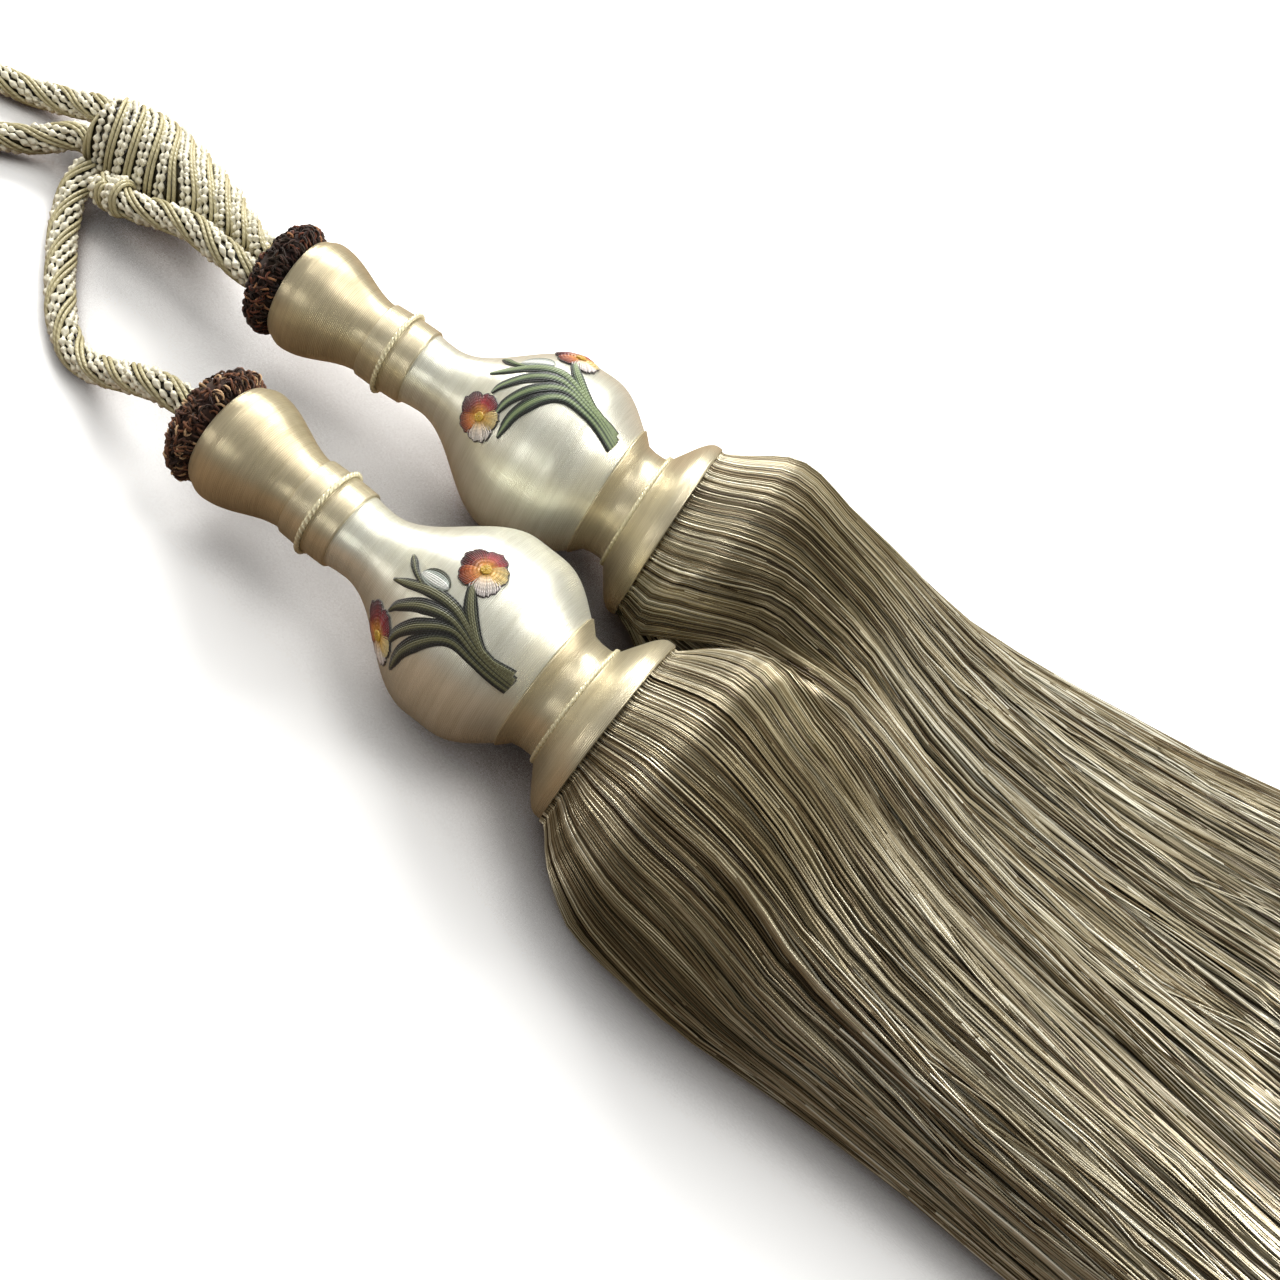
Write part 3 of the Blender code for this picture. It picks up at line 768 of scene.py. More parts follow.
gold_finish = thread_finish("gold_cord", pitch=1.2 * MM, groove=0.04 * MM, mottle=0.1, roughness=0.4,
                            metallic=0.35)
for label in SEATS:
    usual = satin_finish("satin_thread_" + label, label, SATIN_USUAL)
    for part, profile in PROFILES.items():
        name = "satin_" + part + "_" + label
        satin = satin_finish(name, label, SATIN_DYES[part]) if part in SATIN_DYES else usual
        made = turned(name, profile, label, satin)
        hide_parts(part + "_" + label)
    for part, along, radius in GOLD_CORDS:
        turn = np.linspace(0, math.tau, GOLD_POINTS)
        threads = Threads()
        for side in (0, math.pi):
            twist = turn * round(math.tau * radius / GOLD_TWIST) + side
            out = radius + GOLD_RADIUS * (GOLD_PROUD + GOLD_LAY * np.cos(twist))
            line = around(along + GOLD_LAY * GOLD_RADIUS * np.sin(twist), out, turn)
            threads.lay(seated(line, label)[None], GOLD_RADIUS, THREAD_SIDES, GOLD_COLOUR)
        made = threads.make("gold_cord_" + part + "_" + label, gold_finish)


# ---- The ruffs ----
# A cuff of brown looped wool sits on each cup's mouth, round the rope. Its curls stand out from a
# dark base and are tipped with tan and, beside the rope, with cream.

RUFF_PROFILE = ((-82.3, 12.6), (-84.5, 15.0), (-87.4, 14.6), (-89.8, 12.9), (-91.2, 10.4), (-91.4, 5.0))
RUFF_SIDES = 24
CURLS = 680
CURLS_SPREAD = 0.98
CURL_POINTS = 9
CURL_SIDES = 3
CURL_RADII = (0.85 * MM, 1.35 * MM)
CURL_THREAD = 0.36 * MM
CURL_STANDS = 0.35
RUFF_DYES = {
    "rear": (dye(32, 12, 7), dye(50, 20, 12), dye(96, 48, 30), dye(150, 104, 70)),
    "front": (dye(44, 22, 14), dye(76, 44, 30), dye(118, 76, 52), dye(196, 162, 124)),
}
RUFF_SHARES = {"rear": (0.45, 0.32, 0.17, 0.06), "front": (0.30, 0.32, 0.24, 0.14)}
CREAM_DYE = dye(214, 198, 150)
CREAM_WITHIN = 9.5 * MM
CREAM_SHARE = 0.5

ruff_finish = thread_finish("looped_wool", pitch=0, groove=0, mottle=0.1, roughness=0.95, sheen_weight=0.06)
for label, seed in (("rear", 31), ("front", 37)):
    dice = np.random.default_rng(seed)
    threads = Threads()
    profile = np.array(RUFF_PROFILE) * MM
    profile_run = run_of(profile)
    threads.lay(seated(around(profile[:, 0], 0.0, 0.0), label)[None], profile[:, 1], RUFF_SIDES,
                RUFF_DYES[label][0])
    height = profile_run[-1] - np.sqrt(dice.uniform(0.0, 1.0, CURLS)) * profile_run[-1] * CURLS_SPREAD
    turn = dice.uniform(0, math.tau, CURLS)
    along, radius = rows_at(height, profile_run, profile).T
    along_slope, out_slope = rows_at(height, profile_run, np.gradient(profile, profile_run, axis=0)).T
    lean = np.arctan2(-along_slope, out_slope)
    outward = around(-np.cos(lean), np.sin(lean), turn)
    level = unit(np.cross(outward, unit(dice.normal(size=(CURLS, 3)))))
    size = dice.uniform(*CURL_RADII, CURLS)[:, None, None]
    bend = np.linspace(0, math.tau, CURL_POINTS)[None, :, None]
    curls = (around(along, radius, turn)[:, None]
             + size * ((CURL_STANDS - np.cos(bend)) * outward[:, None] + np.sin(bend) * level[:, None]))
    dyes = np.array(RUFF_DYES[label])[dice.choice(4, CURLS, p=RUFF_SHARES[label])]
    dyes[(radius < CREAM_WITHIN) & (dice.random(CURLS) < CREAM_SHARE)] = CREAM_DYE
    threads.lay(seated(curls, label), CURL_THREAD, CURL_SIDES, dyes[:, None])
    made = threads.make("looped_ruff_" + label, ruff_finish)
    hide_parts("ruff_" + label)


# ---- The embroidered sprigs ----
# A sprig is worked in silk over each bulb: long satin-stitched leaves and stems that fan from a cut
# end, two small open flowers and a bud. The stitches lie side by side and stand a little proud.

SPRIG_TURN = {"rear": 101.0, "front": 137.0}
STITCH = 0.30 * MM
STITCH_SIDES = 4
STITCH_APART = 1.55
STITCHED_WIDTH = 0.94
# shares of a patch's half width where its rib ends and where its edge starts
RIB_ENDS = 0.4
EDGE_STARTS = 0.7
STITCH_LIFT = 0.15 * MM
PADDING = 0.55 * MM
LEAF_DYES = {
    "rear": (dye(16, 24, 15), dye(126, 142, 98), dye(62, 80, 52)),
    "front": (dye(16, 18, 10), dye(104, 104, 72), dye(50, 54, 34)),
}
# leaves and stems: half width in millimetres, then points as (along in millimetres, turn in degrees)
LEAVES = (
    (1.7, ((15, -4), (7, -4), (0, -14), (-4, -24), (-5.5, -33))),
    (1.6, ((15.8, -1), (6, -5), (-4, -13), (-12, -13), (-18, -8), (-22.5, -2))),
    (1.8, ((16, 1), (6, -3), (-4, -8), (-12, -3), (-17, 8), (-18.5, 17))),
    (1.8, ((16, 3), (6, -1), (-2, -4), (-9, 5), (-13, 18), (-14, 31))),
    (1.9, ((15.8, 6), (6, 2), (-1, 1), (-6, 9), (-9.5, 24), (-10, 41))),
    (0.9, ((-14.5, -12), (-19, -18), (-22.5, -28))),
)
LEAF_STEP = 0.7 * MM
# places along a leaf, and its width there, both as shares
LEAF_TAPER = (0, 0.25, 0.7, 0.9, 1), (0.60, 0.55, 1.0, 0.6, 0.08)
# what a turn round the bulb is worth as a length, while a leaf's line is smoothed
TURN_LENGTH = 25 * MM
# flowers: place along, turn, and the petals' first direction in degrees
FLOWERS = ((-5, -38, 200), (-17.5, 37, 200))
# petals round a flower: length, half width, colours from root to edge
PETALS = (
    (6.9, 3.5, (dye(196, 130, 40), dye(122, 22, 16), dye(64, 8, 10))),
    (6.2, 3.0, (dye(206, 146, 50), dye(158, 40, 44), dye(96, 14, 30))),
    (5.6, 2.9, (dye(210, 160, 60), dye(218, 186, 116), dye(214, 196, 140))),
    (6.6, 3.5, (dye(214, 170, 90), dye(226, 212, 196), dye(232, 224, 220))),
    (6.3, 3.1, (dye(204, 146, 50), dye(196, 112, 52), dye(130, 50, 24))),
)
PETAL_STITCHES = 15
PETAL_POINTS = 9
PETAL_ROOT = 0.8 * MM
PETAL_LIFT = 0.3 * MM
PETAL_PADDING = 0.44 * MM
PETAL_STITCH = 0.24 * MM
PETAL_BLENDS = (0.1, 0.5, 0.9)
PETAL_SHOULDER = 0.97
PETAL_UNEVEN = (0.93, 1.04)
PETAL_TONES = (0.75, 1.15)
# the share of a petal's length that its side stitches reach, and of a half wave that its width follows
PETAL_SIDES = 0.60
PETAL_FULLNESS = 0.56
OUTLINE_DYE = dye(34, 20, 14)
OUTLINE_RADIUS = 0.24 * MM
OUTLINE_STEP = 0.5 * MM
OUTLINE_SIDES = 5
HEART_DYE = dye(186, 148, 30)
HEART_TURNS = 3.5
HEART_POINTS = 40
HEART_REACH = 1.2 * MM
HEART_LIFT = 0.9 * MM
HEART_RADIUS = 0.36 * MM
# the bud: place along, turn, half length, half width
BUD = (-13.0, -19.0, 4.0, 2.9)
BUD_POINTS = 12
BUD_TIP = 0.02
BUD_DYES = (dye(222, 224, 218), dye(160, 168, 160))


def bulb_radius(along):
    share = np.clip((along - NECK[0]) / (-BELT_HALF - NECK[0]), 0, 1)
    above = NECK[1] + (BULB_RADIUS - NECK[1]) * swell(share)
    below = shoulder_below(np.maximum(along, BELT_HALF))
    return np.where(along < -BELT_HALF, above, np.where(along > BELT_HALF, below, BULB_RADIUS))


def on_bulb(along, turn, lift):
    """Points on the bulb. Along in metres, turn in radians round the axis, lift above the satin."""
    return around(along, bulb_radius(along) + lift, turn)


def stitch_patch(threads, label, line, half, colours, edge):
    """Lay stitches side by side along a line of (along, turn) rows, padded up in the middle."""
    along, turn = line.T
    ahead = unit(np.gradient(line, axis=0) * np.column_stack([np.ones(len(line)), bulb_radius(along)]))
    for share in np.linspace(-1, 1, max(5, round(2 * half.max() / (STITCH_APART * STITCH)))):
        aside = share * half * STITCHED_WIDTH
        lift = STITCH_LIFT + PADDING * (1 - share ** 2) * np.minimum(1, half / half.max())
        points = on_bulb(along - aside * ahead[:, 1], turn + aside * ahead[:, 0] / bulb_radius(along), lift)
        tone = edge if abs(share) > EDGE_STARTS else colours[0] if abs(share) < RIB_ENDS else colours[1]
        threads.lay(seated(points, label)[None], STITCH, STITCH_SIDES, tone)


def petal(threads, label, place, facing, length, half, colours, dice):
    """A fan of uneven stitches from a flower's heart to a round edge, dyed from root to edge."""
    share = np.linspace(0, 1, PETAL_POINTS)
    tones = rows_at(share, PETAL_BLENDS, np.array(colours))
    edge = []
    for side in np.linspace(-1, 1, PETAL_STITCHES):
        reach = PETAL_SIDES + (1 - PETAL_SIDES) * math.sqrt(1 - PETAL_SHOULDER * side ** 2)
        reach = length * reach * dice.uniform(*PETAL_UNEVEN)
        out = PETAL_ROOT + (reach - PETAL_ROOT) * share
        aside = side * half * np.sin(share * math.pi * PETAL_FULLNESS)
        along = place[0] + out * math.cos(facing) - aside * math.sin(facing)
        turn = place[1] + (out * math.sin(facing) + aside * math.cos(facing)) / bulb_radius(along)
        lift = PETAL_LIFT + PETAL_PADDING * np.sin(share * math.pi) * (1 - side ** 2 / 2)
        stitch = seated(on_bulb(along, turn, lift), label)
        threads.lay(stitch[None], PETAL_STITCH, STITCH_SIDES, tones * dice.uniform(*PETAL_TONES))
        edge.append(stitch[-1])
    edge = smooth_line(np.vstack([stitch[PETAL_POINTS // 2], edge[::-1]]), OUTLINE_STEP)
    threads.lay(edge[None], OUTLINE_RADIUS, OUTLINE_SIDES, OUTLINE_DYE)


silk = thread_finish("embroidery_silk", pitch=0.9 * MM, groove=0.03 * MM, mottle=0.0, roughness=0.42,
                     sheen_weight=0.3)
for label, middle in SPRIG_TURN.items():
    dice = np.random.default_rng(29)
    threads = Threads()
    edge_dye, *leaf_dyes = LEAF_DYES[label]
    for half, points in LEAVES:
        line = [(along * MM, math.radians(middle + turn) * TURN_LENGTH) for along, turn in points]
        line = smooth_line(line, LEAF_STEP) / (1.0, TURN_LENGTH)
        width = half * MM * np.interp(np.linspace(0, 1, len(line)), *LEAF_TAPER)
        stitch_patch(threads, label, line, width, leaf_dyes, edge_dye)
    along, turn, length, half = BUD
    share = np.linspace(-1, 1, BUD_POINTS)
    line = np.column_stack([(along + length * share) * MM, np.full(BUD_POINTS, math.radians(middle + turn))])
    width = half * MM * np.sqrt(np.clip(1 - share ** 2, BUD_TIP, 1))
    stitch_patch(threads, label, line, width, BUD_DYES, leaf_dyes[1])
    for along, turn, first in FLOWERS:
        place = (along * MM, math.radians(middle + turn))
        for number, (length, half, colours) in enumerate(PETALS):
            facing = math.radians(first) + number * math.tau / len(PETALS)
            petal(threads, label, place, facing, length * MM, half * MM, colours, dice)
        heart = np.linspace(0, HEART_TURNS * math.tau, HEART_POINTS)
        reach = HEART_REACH * heart / heart[-1]
        turns = place[1] + reach * np.sin(heart) / bulb_radius(np.array(place[0]))
        line = on_bulb(place[0] + reach * np.cos(heart), turns, HEART_LIFT)
        threads.lay(seated(line, label)[None], HEART_RADIUS, OUTLINE_SIDES, HEART_DYE)
    made = threads.make("embroidered_sprig_" + label, silk)


# ---- The skirts ----
# Some thousands of fine viscose yarns hang from a backing under each collar's rim. They swell out over
# it, gather into loose locks, and fall to a broad bed on the table, where the two skirts lie side by
# side and the rear one's top yarns spill a little over the front one's.

SKIRT_LEAN = math.radians(12)
SKIRT_NEAR_SIDE = 46 * MM
SETTLE_RUN = 18 * MM
SKIRT_GAP = 0.3 * MM
# a skirt's middle is below this share of its height. Below it a settled skirt is squarer and deeper
MIDDLE_SHARE = 0.46
UNDER_SQUARE = 0.9
UNDER_DEEPER = 0.25
# along the axis, half width away from the partner, height above the table, in millimetres
SKIRT_ROWS = {
    "rear": ((41.3, 26.4, 53.4), (46, 29.5, 55.5), (57, 36, 61.5), (80, 34.5, 57.5),
             (125, 33.5, 46.5), (185, 46, 38), (262, 67, 30)),
    "front": ((41.3, 26.4, 53.4), (46, 32.5, 56), (57, 39.5, 62), (80, 45, 60.5),
              (125, 42.5, 50), (185, 41, 42), (258, 43, 33)),
}
PARTNER_SIDE = {"rear": -1, "front": 1}
STATIONS = MM * np.array([
    39.6, 41, 43, 45.5, 48.5, 52, 56, 60.5, 65.5, 71, 77,
    84, 92, 101, 112, 125, 141, 160, 182, 207, 234, 262,
])
TIPS_FROM = 200 * MM
YARN_DYES = (dye(148, 137, 110), dye(180, 171, 146), dye(108, 94, 68), dye(216, 210, 188), dye(70, 57, 38))
YARN_SHARES = (0.38, 0.25, 0.20, 0.10, 0.07)
# painted shade: yarns are darker deep between the locks, and darker and browner where they leave the dome.
# Painted light makes them paler and a little cooler on the bed
DEEP_SHADE_TONE = 0.42
OPEN_LIGHT_TONE = 1.08
DEEP_FADE = 1.5 * MM
DOME_PAINTED_SHADE = (0.66, 0.62, 0.52)
PAINTED_SHADE_AND_LIGHT_RUN = (50 * MM, 66 * MM, 88 * MM, 122 * MM)
BED_PAINTED_LIGHT = {"rear": (1.26, 1.29, 1.35), "front": (1.06, 1.08, 1.12)}
# painted shade: the dark of the closed body inside each skirt
SKIRT_CORE_SHADE = dye(52, 40, 24)
YARN_SIDES = 3
RAGGED = 5 * MM
UNEVEN_DYE = (0.85, 1.15)
UNDERSIDE_WEIGHT = 0.35
TINY = 0.001
RIM_GRID = 481
# how many yarns, how many locks, how far a yarn strays as a share of the skirt's width, its depths under
# the surface, and how far it is pulled to its lock's middle
OUTER_YARNS = (1500, 64, 0.0022, (0.35 * MM, 2.2 * MM), 0.5)
LOOSE_YARNS = (330, 23, 0.005, (-0.25 * MM, 0.5 * MM), 0.2)
UNDER_YARNS = 800
FILL_YARNS = 700
OUTER_RADIUS = 0.34 * MM
LOOSE_RADIUS = 0.22 * MM
UNDER_RADIUS = 0.36 * MM
FILL_RADIUS = 0.5 * MM
LOOSE_TONE = 1.15
# painted shade: the under yarns are darker than the outer ones
UNDER_SHADE_TONE = 0.7
UNDER_DIVES = (70 * MM,), 0.006
UNDER_WANDER = 0.002
UNDER_DEPTHS = (0.88, 0.95)
UNDER_LIMITS = (0.85, 0.96)
# painted shade: the yarns that fill the open end are darker
FILL_SHADE_TONE = 0.8
FILL_STRAYS = (150 * MM,), 0.01
FILL_AREAS = (0.01, 0.77)
CORE_SIZE = 0.86
SKIRT_CORE_SIDES = 72
# how locks and yarns wander: wave lengths, and how far
LOCK_STRAYS = (95 * MM, 190 * MM), 0.0055
LOCK_DIVES = (110 * MM, 230 * MM), 0.8 * MM
YARN_WAVES = (60 * MM, 150 * MM)
YARN_DIVES = (80 * MM,), 0.25 * MM
# yarns at a lock's edge lie deeper. Some stray into the next lock, and each lock is pulled together anew
EDGE_DIVE = 1.1 * MM
EDGE_MOST = 1.5
LOCK_MIX = 0.2
LOCK_PULLS = (0.5, 1.0)
# where the top yarns of the two skirts meet: along X, across, in millimetres
MEETING_LINE = ((40, -31.5), (62, -34), (80, -37.5), (100, -43), (120, -49.5), (140, -55.5),
                (160, -60), (185, -64.5), (262, -72))
VALLEY_FILL = 0.72
VALLEY_RUN = (62 * MM, 110 * MM)
MANTLE_RUN = (62 * MM, 112 * MM)
GATHER_RUN = (40 * MM, 80 * MM)
GATHER_PLACE = 64 * MM
# turns in degrees where a dome meets its partner, and where the mantle's outer edge starts
PARTNER_TURNS = {"front": -14, "rear": 194}
PARTNER_BEND = 5
OUTER_TURNS = {"front": 222, "rear": -42}
MANTLE_SPAN = (35 * MM, 300 * MM)
MANTLE_STEP = 5 * MM
LOOSE_RUN = (30 * MM, 150 * MM)
MANTLE_ROWS = 121
FLANK_ROWS = 80
VALLEY_ROWS = 90


def eased(where, places, values):
    """Values on a smooth curve through the given ones at their places."""
    places, values = np.array(places), np.array(values)
    slopes = np.gradient(values, places)
    k = np.clip(np.searchsorted(places, where) - 1, 0, len(places) - 2)
    span = places[k + 1] - places[k]
    t = np.clip((where - places[k]) / span, 0, 1)
    return ((2 * t ** 3 - 3 * t ** 2 + 1) * values[k] + (t ** 3 - 2 * t ** 2 + t) * span * slopes[k]
            + (3 * t ** 2 - 2 * t ** 3) * values[k + 1] + (t ** 3 - t ** 2) * span * slopes[k + 1])


def ramp(where, run):
    """A soft step from 0 to 1 between two places."""
    return swell(np.clip((where - run[0]) / (run[1] - run[0]), 0, 1))


def skirt_sizes(label, along):
    """Half width, height, and height of the middle of a skirt's cross-section."""
    rows = np.array(SKIRT_ROWS[label]) * MM
    side = eased(along, rows[:, 0], rows[:, 1])
    height = eased(along, rows[:, 0], rows[:, 2])
    return side, height, np.minimum(AXIS_HEIGHT, MIDDLE_SHARE * height)


def partner_room(label, along):
    """Half the way from one tassel's axis to the other's, square to this one."""
    (x, y, _), heading = SEATS["front"]
    if label == "rear":
        return -(y + (along - x) * math.tan(heading)) / 2 - SKIRT_GAP
    return -(y + along * math.sin(heading)) / 2 * math.cos(heading) - SKIRT_GAP


def skirt_section(label, along, turn, depth):
    """Points of a skirt's cross-section. Depth is 0 at its middle and 1 on its outside."""
    side, height, middle = skirt_sizes(label, along)
    partner = PARTNER_SIDE[label]
    settled = np.clip((along - SKIRT_ROWS[label][0][0] * MM) / SETTLE_RUN, 0, 1)
    y, z = np.cos(turn), np.sin(turn)
    wide = np.where(y * partner > 0, np.minimum(side, SKIRT_NEAR_SIDE), side)
    tall = np.where(z > 0, height - middle, middle * (1 + UNDER_DEEPER * settled))
    power = np.where(z > 0, 2.0, 2.0 + UNDER_SQUARE * settled)
    reach = (np.abs(y / wide) ** power + np.abs(z / tall) ** power) ** (-1 / power)
    reach = np.where(z < -TINY, np.minimum(reach, middle / np.maximum(-z, TINY)), reach)
    lean = math.tan(SKIRT_LEAN) * partner
    room = partner_room(label, along) + lean * (middle - AXIS_HEIGHT / 2)
    closing = y * partner - lean * z
    reach = np.where(closing > TINY, np.minimum(reach, room / np.maximum(closing, TINY)), reach)
    height = middle - AXIS_HEIGHT + depth * reach * z
    return np.stack(np.broadcast_arrays(along, depth * reach * y, height), axis=-1)


def spread_round(label, places, shares, depth):
    """Points at even shares of each cross-section's rim, counted from its lowest point."""
    grid = np.linspace(-math.pi / 2, 1.5 * math.pi, RIM_GRID)
    weights = np.where((grid[1:] < 0) | (grid[1:] > math.pi), UNDERSIDE_WEIGHT, 1.0)
    points = np.empty((*shares.shape, 3))
    for k, along in enumerate(places):
        steps = np.diff(run_of(skirt_section(label, along, grid, 1.0)))
        run = np.concatenate([[0.0], np.cumsum(steps * weights)])
        turn = np.interp(np.mod(shares[:, k], 1.0), run / run[-1], grid)
        points[:, k] = skirt_section(label, along, turn, depth[:, k])
    return points


def mantle_outline(x):
    """Both skirts' top at one place along X: rows (across, height) from the front edge to the rear."""
    flanks, tops = {}, {}
    for label, outer in OUTER_TURNS.items():
        (start, aside, _), heading = SEATS[label]
        along = (x - start) / math.cos(heading)
        axis = aside + along * math.sin(heading)
        flank_turns = np.radians(np.linspace(outer, 90.0, FLANK_ROWS))
        flanks[label] = skirt_section(label, along, flank_turns, 1.0)[:, 1:] + (axis, AXIS_HEIGHT)
        tops[label] = (axis, *skirt_sizes(label, along))
    crests = np.array([flanks["front"][-1], flanks["rear"][-1]])
    across = np.linspace(*crests[:, 0], VALLEY_ROWS)[1:-1]
    top = np.zeros(len(across))
    for axis, side, height, middle in tops.values():
        share = np.clip(np.abs(across - axis) / min(side, SKIRT_NEAR_SIDE), 0, 1)
        top = np.maximum(top, middle + (height - middle) * np.sqrt(1 - share ** 2))
    top = top + VALLEY_FILL * ramp(x, VALLEY_RUN) * (np.interp(across, *crests.T) - top)
    return np.vstack([flanks["front"], np.column_stack([across, top]), flanks["rear"][::-1]])


def mantle_table():
    """Each skirt's part of the mantle: at every place along X, rows (across, height, the way out)."""
    table = {"front": [], "rear": []}
    for x in mantle_places:
        outline = mantle_outline(x)
        run = run_of(outline)
        meeting = np.interp(x, *np.array(MEETING_LINE).T * MM)
        # the outline turns back under the skirts, so only its upper stretch is searched
        upper = slice(FLANK_ROWS // 2, -FLANK_ROWS // 2)
        split = np.interp(meeting, outline[upper, 0], run[upper])
        for label, ends in (("front", (0.0, split)), ("rear", (split, run[-1]))):
            rows = rows_at(np.linspace(*ends, MANTLE_ROWS), run, outline)
            ahead = unit(np.gradient(rows, axis=0))
            table[label].append(np.column_stack([rows, -ahead[:, 1], ahead[:, 0]]))
    return {label: np.array(rows) for label, rows in table.items()}


mantle_places = np.arange(*MANTLE_SPAN, MANTLE_STEP)
mantle = mantle_table()


def mantle_points(label, x, share, inset):
    """World points in the mantle, an inset below its surface. Share runs from the front to the rear."""
    last = 1 + TINY
    at = np.clip((x - mantle_places[0]) / MANTLE_STEP, 0, len(mantle_places) - last)
    row = np.clip(share, 0, 1) * (MANTLE_ROWS - last)
    at_low, row_low = at.astype(int), row.astype(int)
    at_part, row_part = (at - at_low)[..., None], (row - row_low)[..., None]
    near, far = (
        mantle[label][k, row_low] * (1 - row_part) + mantle[label][k, row_low + 1] * row_part
        for k in (at_low, at_low + 1)
    )
    across, height, out_across, out_up = np.moveaxis(near * (1 - at_part) + far * at_part, -1, 0)
    return np.stack([x, across - inset * out_across, height - inset * out_up], axis=-1)


def gathered_turns(label):
    """Turns round a skirt's own middle of the mantle's rows, where its dome ends."""
    (start, aside, _), heading = SEATS[label]
    x = start + GATHER_PLACE * math.cos(heading)
    rows = mantle_points(label, np.full(MANTLE_ROWS, x), np.linspace(0, 1, MANTLE_ROWS), 0.0)
    middle = skirt_sizes(label, GATHER_PLACE)[2]
    turns = np.arctan2(rows[:, 2] - middle, rows[:, 1] - aside - GATHER_PLACE * math.sin(heading))
    return np.unwrap(np.mod(turns + math.pi / 2, math.tau)) - math.pi / 2


def evenly(dice, count):
    """Shares from 0 to 1, one at random in each of as many equal parts."""
    return (np.arange(count) + dice.uniform(0, 1, count)) / count


def waves(dice, count, along, lengths, size):
    """Slow sideways wandering for a number of yarns or locks."""
    total = 0.0
    for length in lengths:
        phase = dice.uniform(0, math.tau, (count, 1))
        total = total + dice.normal(0, 1, (count, 1)) * np.sin(math.tau * along / length + phase)
    return size * total


def lay_yarns(threads, lines, radius, dice, tones):
    """Lay world lines as yarns, above the table, each with its own dye and a ragged end."""
    lines[:, -1, 0] += dice.uniform(-RAGGED, RAGGED, len(lines))
    lines[:, :, 2] = np.maximum(lines[:, :, 2], radius)
    dyes = np.array(YARN_DYES)[dice.choice(len(YARN_DYES), len(lines), p=YARN_SHARES)]
    dyes = dyes * dice.uniform(*UNEVEN_DYE, (len(lines), 1))
    # the tones carry painted light and shade, and for the outer yarns their locks' uneven dye, into each
    # yarn's dye
    threads.lay(lines, radius, YARN_SIDES, dyes[:, None] * tones)


def yarn_light_and_shade(label, places, below):
    """Painted shade and light along yarns: darker the deeper they lie below a skirt's surface, darker and
    browner past the dome, paler on the bed.
    """
    bed_lit = ramp(places, PAINTED_SHADE_AND_LIGHT_RUN[2:])
    dome_shaded = ramp(places, PAINTED_SHADE_AND_LIGHT_RUN[:2]) * (1 - bed_lit)
    painted_tint = 1 - dome_shaded[:, None] * (1 - np.array(DOME_PAINTED_SHADE))
    painted_tint = painted_tint * (1 - bed_lit[:, None] * (1 - np.array(BED_PAINTED_LIGHT[label])))
    deep = DEEP_SHADE_TONE + (OPEN_LIGHT_TONE - DEEP_SHADE_TONE) * np.exp(-np.maximum(below, 0.0) / DEEP_FADE)
    return deep[..., None] * painted_tint


def mantle_lines(label, places, dice, count, locks, wander, inset, pull):
    """Yarns from the backing over the dome into the mantle. Gives their lines, locks and painted shade and
    light.
    """
    first = evenly(dice, count)
    lock = np.clip((first * locks + dice.normal(0, LOCK_MIX, count)).astype(int), 0, locks - 1)
    lock_dice = np.random.default_rng(locks)
    opened = ramp(places, LOOSE_RUN)
    strays = waves(lock_dice, locks, places, *LOCK_STRAYS)
    dives = waves(lock_dice, locks, places, *LOCK_DIVES)
    pulls = lock_dice.uniform(*LOCK_PULLS, (locks, 1))[lock] * pull
    away = (lock + 0.5) / locks - first
    share = first[:, None] + opened * (away[:, None] * pulls + strays[lock]
                                       + waves(dice, count, places, YARN_WAVES, wander))
    share = np.clip(share, 0, 1)
    edge = np.minimum(np.abs(2 * away * locks), EDGE_MOST)[:, None] ** 2
    below = dice.uniform(*inset, count)[:, None] + opened * (dives[lock] + EDGE_DIVE * edge
                                                            + waves(dice, count, places, *YARN_DIVES))
    below = np.maximum(below, inset[0])
    gathered = gathered_turns(label)
    at_partner, share_to_it = (gathered[-1], share) if label == "front" else (gathered[0], 1 - share)
    turn = np.interp(share, np.linspace(0, 1, MANTLE_ROWS), gathered)
    spread = (math.radians(PARTNER_TURNS[label]) - at_partner) * share_to_it ** PARTNER_BEND
    turn = turn + spread * (1 - ramp(places, GATHER_RUN))
    depth = 1 - below / (skirt_sizes(label, places)[1] / 2)
    own = seated(skirt_section(label, places, turn, depth), label)
    bed = mantle_points(label, own[..., 0], share, below)
    blend = ramp(places, MANTLE_RUN)[:, None]
    return own * (1 - blend) + bed * blend, lock, yarn_light_and_shade(label, places, below - inset[0])


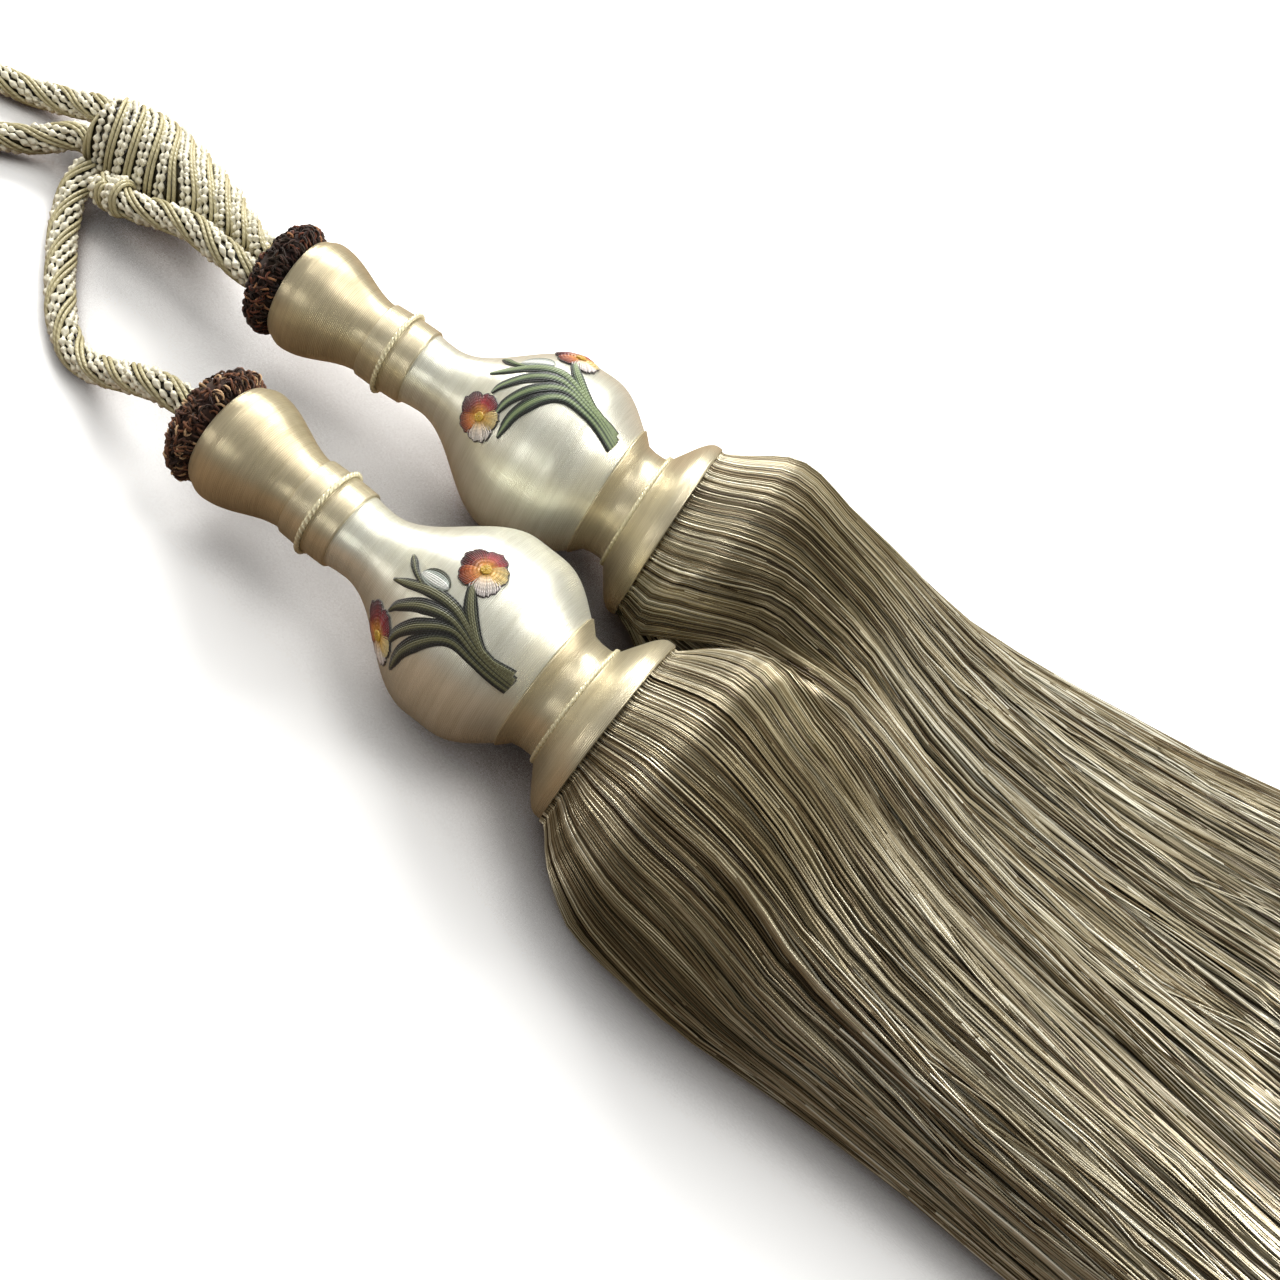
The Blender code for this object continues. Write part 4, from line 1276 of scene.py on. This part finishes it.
yarn_finish = thread_finish("skirt_yarn", pitch=0, groove=0, mottle=0.05, roughness=0.26, metallic=0.45)
for label, seed in (("rear", 41), ("front", 43)):
    dice = np.random.default_rng(seed)
    end = SKIRT_ROWS[label][-1][0] * MM
    places = STATIONS * np.where(STATIONS > TIPS_FROM, end / STATIONS[-1], 1.0)

    threads = Threads()
    lines, lock, tones = mantle_lines(label, places, dice, *OUTER_YARNS)
    tones = tones * dice.uniform(*UNEVEN_DYE, OUTER_YARNS[1])[lock][:, None, None]
    lay_yarns(threads, lines, OUTER_RADIUS, dice, tones)
    made = threads.make("skirt_yarns_outer_" + label, yarn_finish)
    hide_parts("skirt_" + label)

    threads = Threads()
    lines, _, tones = mantle_lines(label, places, dice, *LOOSE_YARNS)
    lay_yarns(threads, lines, LOOSE_RADIUS, dice, LOOSE_TONE * tones)
    made = threads.make("skirt_yarns_loose_" + label, yarn_finish)

    # coarser yarns under the outer ones, and yarns that fill the open end, both painted darker as shade
    threads = Threads()
    few, late = places[::3], places[-4:]
    shares = evenly(dice, UNDER_YARNS)[:, None] + waves(dice, UNDER_YARNS, few, YARN_WAVES, UNDER_WANDER)
    depth = dice.uniform(*UNDER_DEPTHS, UNDER_YARNS)[:, None]
    depth = depth + waves(dice, UNDER_YARNS, few, *UNDER_DIVES)
    lines = spread_round(label, few, shares, np.clip(depth, *UNDER_LIMITS))
    lay_yarns(threads, seated(lines, label), UNDER_RADIUS, dice, UNDER_SHADE_TONE)
    shares = dice.uniform(0, 1, FILL_YARNS)[:, None] + waves(dice, FILL_YARNS, late, *FILL_STRAYS)
    depth = np.sqrt(dice.uniform(*FILL_AREAS, FILL_YARNS))[:, None] * np.ones(len(late))
    lines = spread_round(label, late, shares, depth)
    lay_yarns(threads, seated(lines, label), FILL_RADIUS, dice, FILL_SHADE_TONE)
    made = threads.make("skirt_yarns_inner_" + label, yarn_finish)

    # a closed body stands for the yarns that never show, painted dark as the shade deep among them
    rims, sides = len(places) - 2, SKIRT_CORE_SIDES
    shares = np.arange(sides)[:, None] / sides * np.ones(rims)
    core = spread_round(label, places[:rims], shares, np.full((sides, rims), CORE_SIZE))
    bm = bmesh.new()
    bmesh.ops.create_grid(bm, x_segments=sides, y_segments=rims - 1, size=0.5)
    for vert in bm.verts:
        number, rim = round((vert.co.x + 0.5) * sides), round((vert.co.y + 0.5) * (rims - 1))
        vert.co = core[number % sides, rim]
    bmesh.ops.remove_doubles(bm, verts=bm.verts, dist=SAME_PLACE)
    bmesh.ops.holes_fill(bm, edges=[edge for edge in bm.edges if edge.is_boundary], sides=0)
    bmesh.ops.recalc_face_normals(bm, faces=bm.faces)
    bm.transform(seat(label))
    mesh = as_mesh(bm, "skirt_core_" + label)
    give_dyes(mesh, np.tile(SKIRT_CORE_SHADE, (len(mesh.vertices), 1)))
    mesh.shade_smooth()
    made = add_piece("skirt_core_" + label, mesh, yarn_finish)
